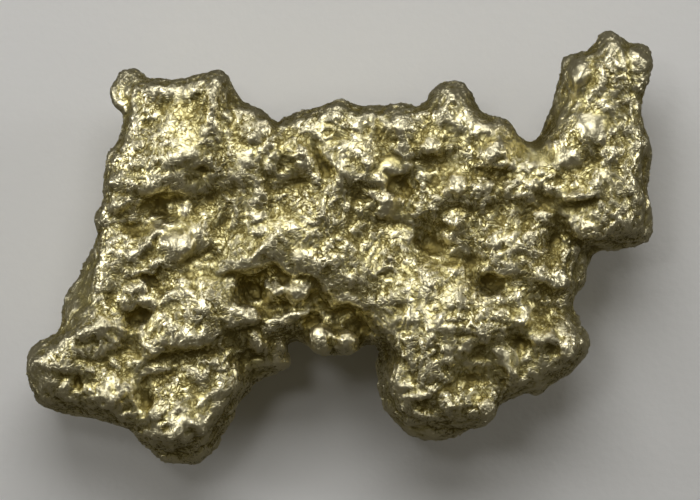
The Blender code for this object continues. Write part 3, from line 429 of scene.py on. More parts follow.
# The left foot, below the long ledge.
LEFT_FOOT = [
    (hollow, -31.0, -22.8, 4.0, 1.9, 0, 1.6), (flake, -26.8, -22.2, 1.0, 0.7, -20, 0.7),
    (flake, -24.8, -22.0, 0.6, 1.5, -10, 0.7), (pit, -25.4, -26.3, 1.7, 1.5, 0, 1.1),
    (flake, -25.2, -25.9, 1.0, 0.7, -30, 0.6), (knob, -32.7, -26.0, 1.4, 1.2, 0, 0.9),
    (ledge, 0.8, 1.4, 1.2, 0.9, (-39.6, -26.4), (-37.5, -25.2), (-35.0, -25.5), (-33.6, -23.5)),
    (ridge, 0.7, 0.9, (-29.2, -31.4), (-26.4, -29.6), (-23.2, -27.4)),
    (rings, -31.7, -31.2, 2.8, 4.0, 0, 0.45, 3), (knob, -31.7, -31.5, 0.95, 0.95, 0, 1.0),
    (pit, -31.8, -33.2, 0.8, 1.1, 20, 0.5), (pit, -35.2, -33.4, 1.7, 1.9, 0, 0.7),
    (flake, -35.2, -33.2, 0.9, 1.1, 0, 0.6),
    (ridge, 0.45, 1.0, (-31.7, -34.8), (-32.8, -37.2), (-34.1, -39.8)),
    (flake, -30.8, -37.0, 1.5, 1.9, 20, 1.0), (hollow, -33.9, -36.6, 1.0, 1.4, -20, 0.8),
    (flake, -36.4, -37.2, 1.4, 1.6, -10, 0.8),
    (ledge, 0.9, 1.2, 1.6, 1.0, (-30.2, -35.0), (-28.5, -36.2), (-26.2, -37.0)),
    (knob, -26.3, -34.4, 0.6, 1.2, 0, 0.6), (knob, -39.3, -37.0, 1.1, 1.3, 0, 0.8),
    (ledge, 0.9, 1.3, 1.8, 1.2, (-39.8, -38.9), (-37.0, -39.8), (-33.5, -40.2), (-29.5, -38.9)),
    (knob, -28.0, -42.0, 1.6, 1.2, 0, 0.7), (knob, -33.5, -42.0, 1.8, 1.2, 0, 0.7),
    (knob, -26.2, -40.4, 1.0, 1.4, 0, 0.7), (hollow, -37.6, -31.0, 2.2, 1.8, 0, 0.7),
    (pleats, -22.5, -31.5, 3.2, 6.5, -27, 0.7, 7),
]
# The knobs and ledges over the bay between the feet.
ARCH = [
    (knob, -13.3, -8.6, 1.7, 2.3, 10, 1.3), (flake, -13.2, -8.3, 0.5, 1.3, -10, 0.6),
    (pleats, -11.6, -8.6, 1.0, 1.6, -15, 0.3, 4), (flake, -7.6, -8.3, 2.8, 2.0, 5, 1.3),
    (hollow, -8.5, -12.0, 4.5, 1.3, 0, 1.6), (knob, -8.0, -12.8, 3.4, 0.8, 4, 1.0),
    (ridge, 0.3, 0.6, (-13.0, -14.8), (-11.0, -14.6), (-9.0, -14.9)),
    (hollow, -19.0, -8.0, 3.6, 2.3, 0, 1.4),
    (ledge, 1.4, 2.2, 1.8, 1.2, (-25.0, -5.2), (-21.0, -4.6), (-17.0, -5.4), (-14.6, -3.4)),
    (ledge, 1.2, 1.6, 1.6, 1.2, (-14.6, -2.6), (-12.4, -3.0), (-10.4, -5.4), (-5.0, -6.2), (-3.4, -8.4)),
    (hollow, -14.2, -13.2, 2.2, 1.6, 0, 1.6), (hollow, -1.0, -13.0, 3.2, 1.8, 15, 1.8),
    (ledge, 1.2, 1.8, 1.6, 1.2, (-3.6, -9.4), (-1.6, -12.0), (2.4, -11.6), (4.6, -14.4)),
    (knob, -19.4, -12.4, 0.9, 0.8, 0, 0.8), (knob, -17.8, -12.6, 0.8, 0.7, 0, 0.7),
    (knob, -16.8, -13.8, 0.8, 0.7, 0, 0.8), (knob, -18.6, -13.8, 0.8, 0.7, 0, 0.7),
    (flake, -21.4, -15.0, 1.3, 0.8, 0, 0.9), (flake, -19.0, -15.4, 0.8, 0.6, 10, 0.6),
    (ledge, 0.8, 1.2, 1.2, 1.0, (-23.6, -16.6), (-20.5, -16.4), (-17.0, -15.4), (-15.4, -14.0)),
    (pit, -21.6, -18.7, 2.2, 1.7, -10, 1.2), (knob, -16.7, -18.6, 2.0, 1.9, 0, 1.2),
    (flake, -16.0, -19.2, 0.8, 0.9, 0, 0.7),
    (ridge, 0.35, -0.9, (-9.6, -15.6), (-13.0, -17.6), (-15.8, -20.6), (-18.4, -22.8)),
    (knob, -11.5, -19.4, 1.5, 1.0, 10, 0.8), (flake, -3.2, -8.6, 1.0, 0.8, 0, 0.7),
    (knob, -1.6, -10.4, 0.7, 0.6, 0, 0.6), (knob, -2.6, -10.0, 0.5, 0.5, 0, 0.5),
    (flake, 1.9, -5.8, 0.6, 2.0, 8, 0.8), (knob, -4.2, -18.4, 2.2, 3.0, 15, 0.5),
    (pleats, -4.2, -18.4, 1.9, 2.6, 10, 0.4, 5), (knob, 1.2, -18.4, 2.6, 3.2, -30, 0.5),
    (flake, 1.9, -19.4, 1.7, 1.4, -30, 0.5), (hollow, -1.6, -18.5, 0.8, 3.0, 10, 1.0),
    (knob, -15.4, -23.4, 1.7, 1.2, 15, 0.8), (knob, -12.2, -22.9, 1.3, 0.9, 10, 0.7),
]
# The wrinkled saddle between the brow and the top knob.
MIDDLE = [
    (hollow, -10.2, 22.8, 2.6, 1.4, 0, 1.2),
    (ridge, 1.1, -1.3, (-8.5, 22.6), (-5.6, 20.2), (-3.6, 16.8), (-1.2, 13.0)),
    (pleats, -5.5, 25.2, 2.2, 4.4, -58, 0.45, 5), (knob, 0.3, 29.0, 1.7, 1.5, 0, 0.8),
    (hollow, 1.3, 26.6, 0.8, 1.6, 0, 1.0), (knob, -7.3, 19.3, 1.2, 1.2, 0, 0.8),
    (flake, -6.6, 16.3, 1.2, 1.3, -10, 1.0), (pleats, -8.4, 16.4, 0.9, 1.5, 10, 0.4, 3),
    (knob, -4.2, 13.2, 1.3, 1.2, 40, 0.7), (pit, -15.3, 18.0, 0.6, 1.2, -10, 0.5),
    (knob, -12.8, 15.0, 0.65, 0.65, 0, 0.7), (knob, -14.6, 15.4, 0.45, 0.5, 0, 0.5),
    (pit, -12.5, 16.9, 1.2, 1.1, 0, 0.5), (hollow, -8.0, 13.0, 3.2, 1.3, 0, 1.2),
    (pit, -14.2, 12.6, 1.0, 0.9, 0, 0.9), (knob, -15.4, 11.2, 1.0, 0.8, 20, 0.8),
    (pit, -18.0, 10.8, 1.8, 1.7, 10, 0.7), (flake, -17.4, 9.4, 1.6, 0.7, 10, 0.7),
    (flake, -16.5, 6.6, 2.1, 1.2, 5, 0.9), (flake, -16.4, 3.8, 2.4, 1.3, -5, 1.0),
    (knob, -3.6, 6.8, 1.2, 1.2, 0, 0.9), (pit, -3.9, 7.2, 0.35, 0.35, 0, 0.4),
    (flake, -8.8, 7.8, 1.6, 1.3, 20, 0.6), (flake, -12.4, 4.6, 1.3, 0.9, 0, 0.8),
    (ridge, 0.4, 0.7, (-2.8, 19.4), (0.0, 15.4), (3.0, 13.6)),
    (ridge, 0.4, 0.7, (-2.4, 19.6), (1.2, 20.2), (4.0, 18.4), (6.6, 18.8)),
    (ridge, 0.4, 0.6, (6.6, 18.6), (4.8, 14.8), (3.0, 13.4)), (flake, 5.7, 17.1, 1.3, 1.2, 0, 1.1),
    (hollow, 2.2, 17.2, 1.7, 1.5, 20, 0.7), (rings, 2.0, 22.2, 2.8, 2.8, 0, 0.4, 3),
    (knob, 2.0, 23.0, 2.6, 2.3, 0, 0.6), (flake, 9.4, 14.8, 1.7, 3.0, -35, 1.2),
    (hollow, 4.8, 10.8, 2.6, 2.0, 0, 1.4), (ridge, 0.6, 0.9, (-12.4, 3.4), (-15.0, 0.2), (-17.4, -2.6)),
    (ridge, 0.5, -0.8, (-13.2, 4.2), (-16.0, 0.8), (-18.4, -2.0)), (hollow, 3.0, 2.5, 2.4, 1.6, 0, 0.8),
    (flake, 8.4, 25.2, 0.9, 2.0, 15, 0.7),
]
# The knob on the upper edge, and the loops below it.
TOP_KNOB = [
    (ridge, 0.5, 0.9, (20.4, 32.2), (20.7, 31.0), (21.6, 29.9), (23.2, 29.0)),
    (rings, 20.2, 27.2, 1.8, 1.6, 0, 0.5, 3), (knob, 20.1, 27.0, 1.1, 0.9, 0, 0.7),
    (knob, 26.1, 28.5, 1.3, 1.4, 0, 0.8), (pit, 26.2, 28.8, 0.6, 0.7, 0, 0.5),
    (ridge, 0.4, 0.8, (24.6, 27.6), (25.6, 26.8), (26.6, 27.1)), (flake, 22.9, 24.9, 1.3, 0.5, 0, 0.7),
    (ridge, 0.5, 0.8, (19.0, 32.3), (18.3, 29.8), (17.2, 27.2), (15.9, 25.2)),
    (flake, 16.3, 24.8, 0.8, 0.9, 20, 0.8), (flake, 18.6, 22.7, 1.0, 1.0, 20, 0.8),
    (flake, 20.8, 22.7, 0.7, 1.2, -20, 0.7), (ridge, 0.4, 0.7, (23.6, 32.0), (24.6, 30.4), (25.4, 29.6)),
    (knob, 18.1, 19.8, 2.1, 2.0, 0, 1.2), (flake, 17.4, 19.5, 1.1, 1.2, 10, 0.9),
    (pit, 19.0, 18.6, 0.5, 0.4, 0, 0.5),
    (ridge, 0.5, 0.7, (15.6, 20.4), (16.4, 21.4), (17.6, 21.9), (19.4, 21.8), (20.9, 21.1)),
    (hollow, 16.9, 16.6, 2.0, 1.5, 0, 1.2), (knob, 16.7, 16.4, 1.6, 1.2, 0, 0.5),
    (knob, 12.8, 19.1, 1.7, 2.0, 0, 0.9), (pleats, 12.0, 23.1, 1.5, 3.3, 24, 0.5, 3),
    (ridge, 0.6, 0.9, (10.5, 25.6), (11.0, 23.6), (12.2, 21.6), (13.4, 20.5)),
    (ridge, 0.35, 0.7, (8.9, 25.4), (9.4, 23.9), (9.2, 22.4)), (knob, 5.6, 27.2, 0.8, 0.7, 0, 0.6),
    (knob, 14.7, 27.1, 0.8, 0.7, 0, 0.6), (ridge, 0.4, 0.5, (29.0, 25.2), (29.6, 23.8), (29.2, 22.4)),
    (flake, 31.0, 24.2, 1.0, 0.8, 0, 0.7), (ridge, 0.4, 0.8, (30.6, 22.4), (31.4, 20.9), (33.0, 20.3)),
]
# The upright leaf right of the middle, and the lumps round it.
SAIL = [
    (flake, 11.0, 16.2, 2.6, 1.8, -10, 1.4), (knob, 8.6, 12.8, 0.9, 1.5, 0, 1.2),
    (hollow, 13.0, 12.8, 2.4, 2.2, 0, 1.4), (ridge, 0.35, 0.7, (10.8, 14.9), (12.4, 14.9), (14.2, 14.2)),
    (ridge, 0.5, 0.8, (16.2, 15.0), (16.6, 13.0), (16.2, 11.4)), (knob, 8.9, 9.4, 1.1, 1.0, 0, 0.8),
    (flake, 8.5, 7.1, 0.8, 1.3, 0, 0.8), (flake, 10.3, 9.6, 0.5, 0.9, 0, 0.6),
    (knob, 11.8, 9.3, 0.7, 0.7, 0, 0.6), (hollow, 10.4, 4.6, 3.6, 1.2, 0, 1.2),
    (pleats, 10.4, 7.4, 3.2, 2.6, 0, 0.3, 5), (pleats, 13.2, 2.2, 2.0, 2.8, -40, 0.5, 5),
    (knob, 21.0, 1.9, 1.5, 1.4, 0, 0.9), (flake, 15.6, 7.1, 0.8, 2.0, 0, 1.0),
    (knob, 15.7, 8.6, 0.5, 0.5, 0, 0.5), (knob, 19.1, 8.8, 1.6, 1.3, 0, 1.0),
    (pit, 19.2, 9.2, 0.7, 0.5, 0, 0.4), (knob, 22.6, 5.7, 1.9, 1.8, 0, 1.1),
    (pit, 22.4, 6.1, 0.8, 0.7, 0, 0.7), (flake, 22.2, 4.8, 1.2, 0.7, 10, 0.6),
    (knob, 23.2, 12.8, 2.1, 1.9, 0, 1.0), (flake, 23.1, 12.0, 1.7, 1.3, 0, 1.2),
    (flake, 28.0, 12.3, 2.1, 1.2, 0, 1.3), (ridge, 0.5, -0.9, (26.6, 15.6), (28.7, 15.0), (30.8, 14.0)),
    (swell, 30.9, 18.2, 3.2, 3.1, 0, 0.8), (pit, 31.6, 17.4, 1.5, 1.2, 20, 1.6),
    (flake, 31.1, 19.9, 1.4, 1.0, -15, 1.1),
    (ridge, 0.45, 0.8, (33.2, 18.0), (32.6, 16.6), (31.2, 15.5), (29.8, 15.6)),
    (rings, 28.4, 17.6, 2.0, 2.4, 50, 0.4, 3), (pleats, 24.6, 19.0, 1.6, 2.0, -10, 0.35, 4),
    (ridge, 0.4, 0.5, (23.6, 21.8), (25.3, 21.6), (26.8, 20.6)),
    (ridge, 0.5, 0.8, (31.2, 9.4), (29.6, 9.9), (28.0, 9.0), (27.8, 7.4), (29.0, 6.2), (30.8, 6.3)),
    (hollow, 29.6, 8.0, 1.2, 1.0, 0, 0.7),
    (ledge, 0.5, 1.0, 0.4, 0.9, (25.2, 10.4), (27.6, 10.0), (29.6, 10.6), (32.2, 11.4)),
    (flake, 35.4, 13.6, 1.2, 0.9, 10, 0.8), (flake, 38.2, 12.4, 1.3, 0.9, -15, 0.8),
    (flake, 41.8, 14.6, 1.2, 1.0, 15, 0.8), (knob, 36.6, 15.8, 0.9, 0.8, 0, 0.6),
    (flake, 43.2, 12.2, 1.1, 0.9, 0, 0.8), (knob, 39.6, 14.8, 0.8, 0.7, 0, 0.6),
]
# The square block under the tower, and the step to its left.
BLOCK = [
    (flake, 46.4, 13.4, 1.5, 1.5, 5, 1.0), (flake, 50.1, 13.4, 1.4, 1.5, -5, 0.9),
    (flake, 47.6, 10.3, 2.6, 1.0, 10, 1.4),
    (ledge, 0.9, 1.4, 1.4, 1.0, (43.6, 8.8), (46.6, 9.0), (50.0, 9.9), (51.6, 9.6)),
    (flake, 40.2, 6.5, 1.5, 0.9, 20, 1.2), (hollow, 40.2, 10.0, 2.1, 1.4, 0, 1.2),
    (ridge, 0.35, 0.6, (38.0, 11.0), (40.0, 11.8), (42.4, 11.0)), (knob, 38.2, 3.9, 2.1, 1.3, -10, 0.7),
    (knob, 44.2, 6.3, 0.6, 1.1, 0, 0.8),
    (ledge, 0.8, 1.4, 1.4, 1.2, (44.6, 7.4), (44.9, 5.0), (46.2, 3.0), (48.2, 1.2), (51.0, 0.4)),
    (knob, 53.5, 3.3, 1.6, 1.5, 0, 0.7), (pit, 53.5, 3.5, 0.7, 0.6, 0, 0.4),
    (knob, 49.0, 4.2, 1.0, 1.0, 0, 0.7), (knob, 52.3, 5.4, 0.9, 0.8, 0, 0.6),
    (flake, 47.0, 6.0, 1.2, 0.9, 10, 0.7), (flake, 50.8, 6.2, 1.0, 0.7, -20, 0.6),
    (ridge, 0.4, 0.8, (50.8, 9.2), (53.0, 7.4), (55.8, 6.0)),
    (ridge, 0.4, 0.7, (52.4, 10.2), (54.6, 8.4), (57.2, 7.4)),
    (ridge, 0.35, -0.6, (51.6, 9.8), (53.8, 7.9), (56.6, 6.7)), (knob, 53.5, 18.3, 2.1, 2.0, 0, 0.9),
    (pit, 53.4, 18.2, 1.0, 0.9, 0, 0.6), (pleats, 59.0, 14.0, 2.4, 4.4, 4, 0.7, 5),
    (knob, 58.8, 9.5, 0.9, 0.8, 0, 0.7), (flake, 60.4, 6.8, 1.2, 1.8, 10, 0.7),
    (flake, 60.2, 3.4, 1.2, 1.6, -10, 0.6), (hollow, 57.6, 8.4, 0.9, 2.2, 10, 0.6),
    (pleats, 46.6, -4.0, 2.6, 5.4, 12, 0.7, 4), (knob, 46.0, -1.0, 1.2, 1.3, 0, 0.7),
    (ridge, 0.4, 0.7, (44.9, -0.6), (44.2, -2.2), (43.2, -3.4)),
    (ridge, 0.4, 0.7, (44.4, -3.6), (43.3, -4.6), (42.4, -6.0)), (flake, 43.0, -7.3, 1.3, 0.9, 0, 1.0),
    (knob, 39.6, -4.2, 0.8, 0.8, 0, 0.7), (knob, 38.2, -0.8, 1.0, 1.0, 0, 0.7),
    (knob, 40.2, -6.3, 1.0, 0.9, 0, 0.7), (flake, 31.5, -5.1, 1.5, 0.7, 0, 1.0),
    (knob, 28.3, -4.9, 0.9, 0.9, 0, 0.8), (knob, 32.0, 3.4, 0.8, 0.7, 0, 0.6),
    (knob, 34.4, 2.2, 0.9, 0.8, 0, 0.6), (knob, 31.0, 0.6, 0.8, 0.8, 0, 0.6),
    (knob, 33.6, -0.8, 0.9, 0.8, 0, 0.6), (knob, 36.2, -2.4, 0.8, 0.8, 0, 0.6),
    (flake, 34.8, 4.4, 1.0, 0.6, 0, 0.6), (knob, 30.2, -2.4, 0.8, 0.7, 0, 0.6),
    (flake, 36.6, 0.2, 0.9, 0.7, 10, 0.6),
]
# The tower on the right, up to its lobed tip.
TOWER = [
    (swell, 45.6, 34.6, 2.6, 4.2, 0, 2.6), (pit, 45.4, 35.6, 1.0, 1.7, 10, 1.2),
    (knob, 47.4, 34.9, 2.8, 3.0, 0, 1.0),
    (ridge, 0.9, 0.9, (47.2, 37.2), (48.2, 35.5), (47.2, 33.5), (45.8, 32.0), (46.6, 31.0)),
    (ridge, 0.7, 0.9, (48.5, 37.6), (50.4, 38.6), (52.0, 40.0)), (knob, 54.0, 41.0, 2.8, 2.4, 0, 0.6),
    (knob, 54.1, 42.0, 0.7, 0.7, 0, 0.9),
    (ridge, 0.35, 0.6, (52.8, 40.9), (53.3, 39.8), (54.4, 39.6), (55.3, 40.4)),
    (ridge, 0.45, 0.8,
     (54.7, 40.0), (53.2, 38.4), (53.2, 36.2), (54.6, 34.7), (56.1, 36.0), (56.2, 38.4), (55.4, 39.6)),
    (ridge, 0.35, 0.6, (54.2, 38.4), (54.8, 37.2), (54.6, 35.9)), (flake, 54.9, 33.5, 0.9, 0.35, 30, 0.6),
    (knob, 60.0, 38.4, 2.2, 3.8, 0, 0.8), (knob, 58.8, 38.5, 1.2, 2.0, 0, 0.6),
    (ridge, 0.4, 0.9, (60.3, 40.6), (60.9, 38.8), (60.7, 37.0), (59.6, 34.6)),
    (ridge, 0.5, -0.7, (57.6, 41.0), (57.2, 38.0), (57.0, 34.4)),
    (ridge, 0.6, 0.7, (60.5, 34.0), (59.6, 32.4), (58.7, 31.0)),
    (ridge, 0.7, 0.8, (51.4, 37.4), (52.0, 35.0), (51.6, 32.0), (50.4, 30.0)),
    (ridge, 0.5, -0.7, (49.8, 36.4), (49.9, 34.0), (49.0, 31.8)), (knob, 49.6, 29.6, 0.8, 0.7, 0, 0.6),
    (knob, 51.4, 28.6, 0.8, 0.7, 0, 0.6), (knob, 50.8, 31.0, 0.7, 0.7, 0, 0.5),
    (knob, 52.8, 27.4, 0.8, 0.6, 0, 0.5), (knob, 48.8, 27.8, 0.7, 0.6, 0, 0.5),
    (hollow, 44.2, 26.5, 2.2, 4.8, -14, 0.8), (ridge, 0.3, 0.5, (43.2, 24.0), (43.6, 26.0), (43.5, 27.4)),
    (ridge, 0.3, 0.5, (44.2, 24.9), (45.6, 25.9), (47.2, 27.0)), (swell, 50.0, 24.3, 3.4, 2.6, 0, 0.7),
    (lean, 50.0, 23.6, 3.4, 2.8, 0, 1.0), (ridge, 0.5, -0.7, (47.4, 26.8), (49.6, 27.0), (52.0, 26.4)),
    (knob, 52.0, 21.6, 0.8, 0.7, 0, 0.6), (knob, 47.4, 21.6, 0.8, 0.6, 0, 0.5),
    (knob, 54.0, 23.5, 1.2, 1.1, 0, 0.8), (knob, 55.2, 20.2, 1.1, 1.2, 0, 0.7),
    (flake, 56.2, 23.8, 1.9, 0.6, -10, 0.8), (flake, 58.9, 20.6, 1.1, 1.5, 10, 0.9),
    (ridge, 0.35, 0.7, (37.6, 20.0), (40.4, 20.6), (43.4, 21.0), (44.8, 22.6)),
    (hollow, 40.0, 18.6, 4.5, 1.6, -5, 0.9), (swell, 45.6, 17.3, 2.8, 1.9, 0, 0.7),
    (ridge, 0.3, 0.5, (43.8, 18.8), (45.4, 18.6), (47.2, 17.8)),
]
# The crumpled ground over the right foot.
SPONGE = [
    (pit, 24.1, -15.0, 1.0, 0.9, 0, 0.5), (pit, 18.5, -12.5, 1.1, 0.8, 20, 0.5),
    (hollow, 11.5, -11.5, 3.0, 1.2, -25, 0.9), (hollow, 24.5, -17.2, 2.8, 0.9, 0, 0.9),
    (flake, 17.0, -5.6, 2.6, 1.1, -35, 1.1), (knob, 9.8, -2.0, 1.1, 1.1, 0, 0.9),
    (hollow, 11.4, -2.2, 0.7, 1.4, 0, 0.7), (knob, 22.5, -4.4, 2.0, 1.3, 0, 0.9),
    (hollow, 26.0, -3.4, 0.9, 2.6, 0, 0.8),
    (ledge, 0.9, 1.5, 1.4, 1.2, (26.6, -4.6), (29.6, -5.4), (33.4, -5.6), (36.4, -4.8)),
    (flake, 28.3, -17.0, 1.8, 2.2, 0, 1.2), (hollow, 27.3, -21.4, 2.4, 1.1, -5, 0.8),
    (flake, 27.6, -21.2, 0.8, 0.3, 10, 0.5),
    (ridge, 0.35, 0.7, (24.4, -23.2), (27.4, -23.0), (30.8, -23.5)),
    (ridge, 0.35, 0.7, (24.6, -24.5), (27.8, -24.3), (31.2, -24.9)),
    (ridge, 0.35, 0.6, (24.6, -25.7), (27.6, -25.5), (30.8, -26.1)),
    (ridge, 0.45, 1.2, (30.8, -19.8), (32.4, -22.4), (34.5, -25.7)),
    (hollow, 33.0, -27.4, 2.8, 1.2, -10, 1.4), (knob, 21.7, -19.8, 1.1, 0.9, 0, 0.8),
    (knob, 25.2, -19.8, 1.0, 0.8, 0, 0.7), (pleats, 14.6, -7.4, 2.6, 2.0, 60, 0.4, 5),
    (pleats, 21.4, -9.6, 2.6, 2.4, 20, 0.4, 6), (pleats, 14.8, -14.2, 2.6, 2.2, -30, 0.4, 6),
    (pleats, 21.6, -13.2, 2.2, 2.4, 70, 0.4, 5), (pleats, 27.6, -11.8, 2.4, 2.6, -10, 0.4, 5),
]
# The blunt spur at the lower right.
SPUR = [
    (ridge, 0.5, 1.0, (34.9, -9.0), (35.4, -10.6), (36.4, -12.4)), (knob, 35.8, -14.4, 1.5, 1.4, 0, 1.0),
    (flake, 35.9, -14.6, 1.1, 1.0, 0, 0.7), (knob, 37.2, -12.4, 1.2, 1.2, 0, 0.8),
    (hollow, 34.6, -18.4, 3.0, 1.5, -10, 1.2), (pleats, 42.0, -12.4, 3.6, 3.8, 10, 0.8, 6),
    (flake, 41.0, -16.4, 1.4, 1.0, 0, 1.0), (pit, 41.9, -20.2, 1.7, 1.6, 0, 1.0),
    (ridge, 0.4, 0.9, (39.9, -18.2), (41.0, -17.3), (42.2, -17.7), (43.2, -19.0)),
    (knob, 44.7, -20.2, 1.6, 1.7, 0, 0.8), (pit, 44.6, -20.0, 0.7, 0.8, 0, 0.6),
    (ridge, 0.35, 0.6, (44.4, -18.3), (45.8, -18.3), (47.0, -19.2)), (knob, 39.7, -27.6, 1.4, 1.5, 0, 0.8),
    (knob, 42.6, -24.2, 0.8, 0.7, 0, 0.7), (knob, 43.8, -23.4, 0.7, 0.6, 0, 0.6),
    (rings, 40.3, -24.4, 1.5, 1.3, 0, 0.5, 3), (knob, 40.3, -24.5, 0.7, 0.6, 0, 0.5),
    (ridge, 0.35, 0.7, (46.4, -16.8), (48.0, -18.8), (49.3, -21.0)),
    (flake, 47.9, -21.9, 1.2, 1.1, 10, 0.8), (knob, 36.8, -22.0, 1.2, 1.0, 0, 0.6),
    (knob, 37.6, -24.4, 1.1, 1.1, 0, 0.6),
]
# The right foot.
RIGHT_FOOT = [
    (flake, 17.2, -21.5, 1.4, 0.9, 0, 1.0), (ridge, 0.45, 0.8, (19.0, -22.8), (20.8, -22.0), (22.8, -22.4)),
    (pit, 21.0, -25.2, 1.1, 0.7, 0, 0.8), (flake, 9.4, -24.8, 0.8, 1.6, 10, 0.8),
    (ledge, 0.9, 1.4, 1.2, 0.9, (13.0, -30.4), (16.9, -29.8), (19.1, -28.1), (20.4, -26.6), (23.4, -27.0)),
    (flake, 20.5, -28.6, 1.3, 1.0, 10, 0.9), (hollow, 17.4, -31.9, 3.4, 1.4, -4, 1.2),
    (ridge, 0.4, 0.8, (13.8, -32.0), (15.8, -33.0), (17.6, -32.8), (19.6, -33.6)),
    (knob, 22.2, -32.0, 1.6, 1.5, 0, 0.9), (knob, 23.3, -33.4, 0.7, 0.6, 0, 0.6),
    (knob, 24.5, -34.6, 0.8, 0.6, 0, 0.6), (pit, 25.1, -28.6, 0.9, 1.2, 0, 0.9),
    (knob, 28.6, -32.0, 1.5, 3.0, 4, 1.0), (flake, 28.5, -33.4, 1.0, 1.4, 0, 0.8),
    (knob, 26.8, -32.6, 0.6, 1.5, 0, 0.7),
    (ridge, 0.6, -1.0, (13.0, -35.0), (18.0, -35.6), (24.0, -35.6), (28.5, -35.2)),
    (flake, 19.4, -37.0, 3.6, 0.9, -8, 0.9), (pleats, 9.8, -31.2, 1.8, 3.4, 10, 0.5, 4),
    (pleats, 8.6, -17.0, 2.4, 3.2, 70, 0.6, 5), (knob, 14.2, -23.4, 1.2, 1.0, 0, 0.7),
    (flake, 13.0, -27.0, 1.2, 1.0, 10, 0.8), (knob, 16.0, -26.0, 1.0, 0.9, 0, 0.7),
    (flake, 18.8, -24.8, 1.1, 0.8, -10, 0.8),
]
FORMS = (BROW + CAVES + SNOUT + LEFT_FOOT + ARCH + MIDDLE + TOP_KNOB + SAIL + BLOCK + TOWER + SPONGE + SPUR
         + RIGHT_FOOT)


def work_in(mesh, forms, sway, swing):
    """Raises and sinks the front's skin by the forms, which fade out at its sides. Their outlines sway
    by up to about the sway, over lengths of about the swing."""
    co, n = points_of(mesh), normals_of(mesh)
    drift = np.array([noise.noise_vector(Vector(point)) for point in co / swing])
    x, y = co[:, 0] + drift[:, 0] * sway, co[:, 1] + drift[:, 1] * sway
    front = smoothstep(0.05, 0.40, n[:, 2]) * smoothstep(RIM - 3.0, RIM + 1.0, co[:, 2])
    lift = FORM_SHARE * sum(form(x, y, *sizes) for form, *sizes in forms)
    co[:, 2] += MOST_LIFT * np.tanh(lift / MOST_LIFT) * front
    move_points(mesh, co)


def elsewhere(seed):
    """A shift that gives each seed its own part of a pattern."""
    return Vector((seed * 3.7, seed * 1.3, seed * 2.9))


def field(points, size, warp, seed):
    """Smooth noise from about -0.6 to 0.6 at each point, with its pattern bent by the warp."""
    made, shift = np.empty(len(points)), elsewhere(seed)
    for i, point in enumerate(points / size):
        place = Vector(point) + shift
        made[i] = noise.noise(place + noise.noise_vector(place * 0.7) * warp)
    return made


def folds(points, size, warp, seed):
    """Rounded folds, 0 in the sharp creases between them and 1 on the fattest of them."""
    return np.minimum(np.abs(field(points, size, warp, seed)) * 2.2, 1.0)


def worms(points, size, turns, warp, seed):
    """Long rounded wrinkles that curl round one another, with a sharp crease between each two."""
    return np.abs(np.sin(field(points, size, warp, seed) * turns * np.pi))


def facets(points, size, warp, seed):
    """Flat broken faces, each tilted its own way, that meet in sharp steps. About 0.4 in the middle."""
    even = Vector((0.5, 0.5, 0.5))
    made, shift = np.empty(len(points)), elsewhere(seed)
    for i, point in enumerate(points / size):
        place = Vector(point) + shift
        place += noise.noise_vector(place * 0.9) * warp
        middle = noise.voronoi(place)[1][0]
        made[i] = 0.4 + (place - middle).dot(noise.cell_vector(middle) - even) * 2.0
    return made


def sheets(points, size, steps, warp, seed):
    """Thin sheets that overlap: each rises slowly to 1 and breaks off in a sharp edge."""
    share = (field(points, size, warp, seed) * steps) % 1.0
    return share ** 0.8 * smoothstep(1.0, 0.84, share)


# Worn or open places with little crinkling: centre, radii, turn, and how much of it is gone.
CALM = [
    (-32, 24, 4.5, 5.5, 10, 0.2), (-31.5, 0.5, 4.2, 4.2, 0, 0.3), (9.5, 15, 2.0, 3.6, -30, 0.9),
    (-51, -10, 2.5, 5.0, 0, 0.5), (40, 19, 4.5, 2.5, 0, 0.6), (44, 27, 1.6, 3.4, 0, 0.5),
    (50, 24.3, 3.2, 2.2, 0, 0.8), (45.6, 17.3, 2.8, 1.8, 0, 0.7), (-31.7, -31.5, 1.0, 1.0, 0, 0.8),
    (47.4, 34.9, 2.2, 2.6, 0, 0.6), (-19, 17.5, 1.6, 4.5, -15, 0.2), (-8, -8.5, 3.5, 2.0, 0, 0.3),
]


def edges_of(mesh):
    pairs = np.empty(len(mesh.edges) * 2, np.int32)
    mesh.edges.foreach_get("vertices", pairs)
    return pairs.reshape(-1, 2)


def spread(values, pairs, times):
    """Averages values with their neighbours' along the mesh's edges, a number of times."""
    count = len(values)
    a, b = pairs.T
    share = np.bincount(a, minlength=count) + np.bincount(b, minlength=count)
    for _ in range(times):
        total = [np.bincount(a, column[b], count) + np.bincount(b, column[a], count) for column in values.T]
        values = 0.5 * values + 0.5 * np.stack(total, axis=1) / share[:, None]
    return values


def sunk(co, n, pairs, times):
    """How far each point lies below the skin round it."""
    return ((spread(co, pairs, times) - co) * n).sum(1)


def crinkled(mesh):
    """How much crinkling each point takes: all of it on swells and little in hollows and calm places."""
    co, n = points_of(mesh), normals_of(mesh)
    share = 0.75 + 0.4 * smoothstep(-0.35, 0.30, field(co, 8.0, 0.5, 5))
    share *= 1.0 - 0.35 * smoothstep(0.15, 0.9, sunk(co, n, edges_of(mesh), times=60))
    for *oval_sizes, amount in CALM:
        near = smoothstep(1.25, 0.85, oval(co[:, 0], co[:, 1], *oval_sizes)[0])
        share *= 1.0 - amount * near * (co[:, 2] > RIM - 2.0)
    return share * (1.0 + 0.3 * smoothstep(RIM + 4.0, RIM, co[:, 2]))


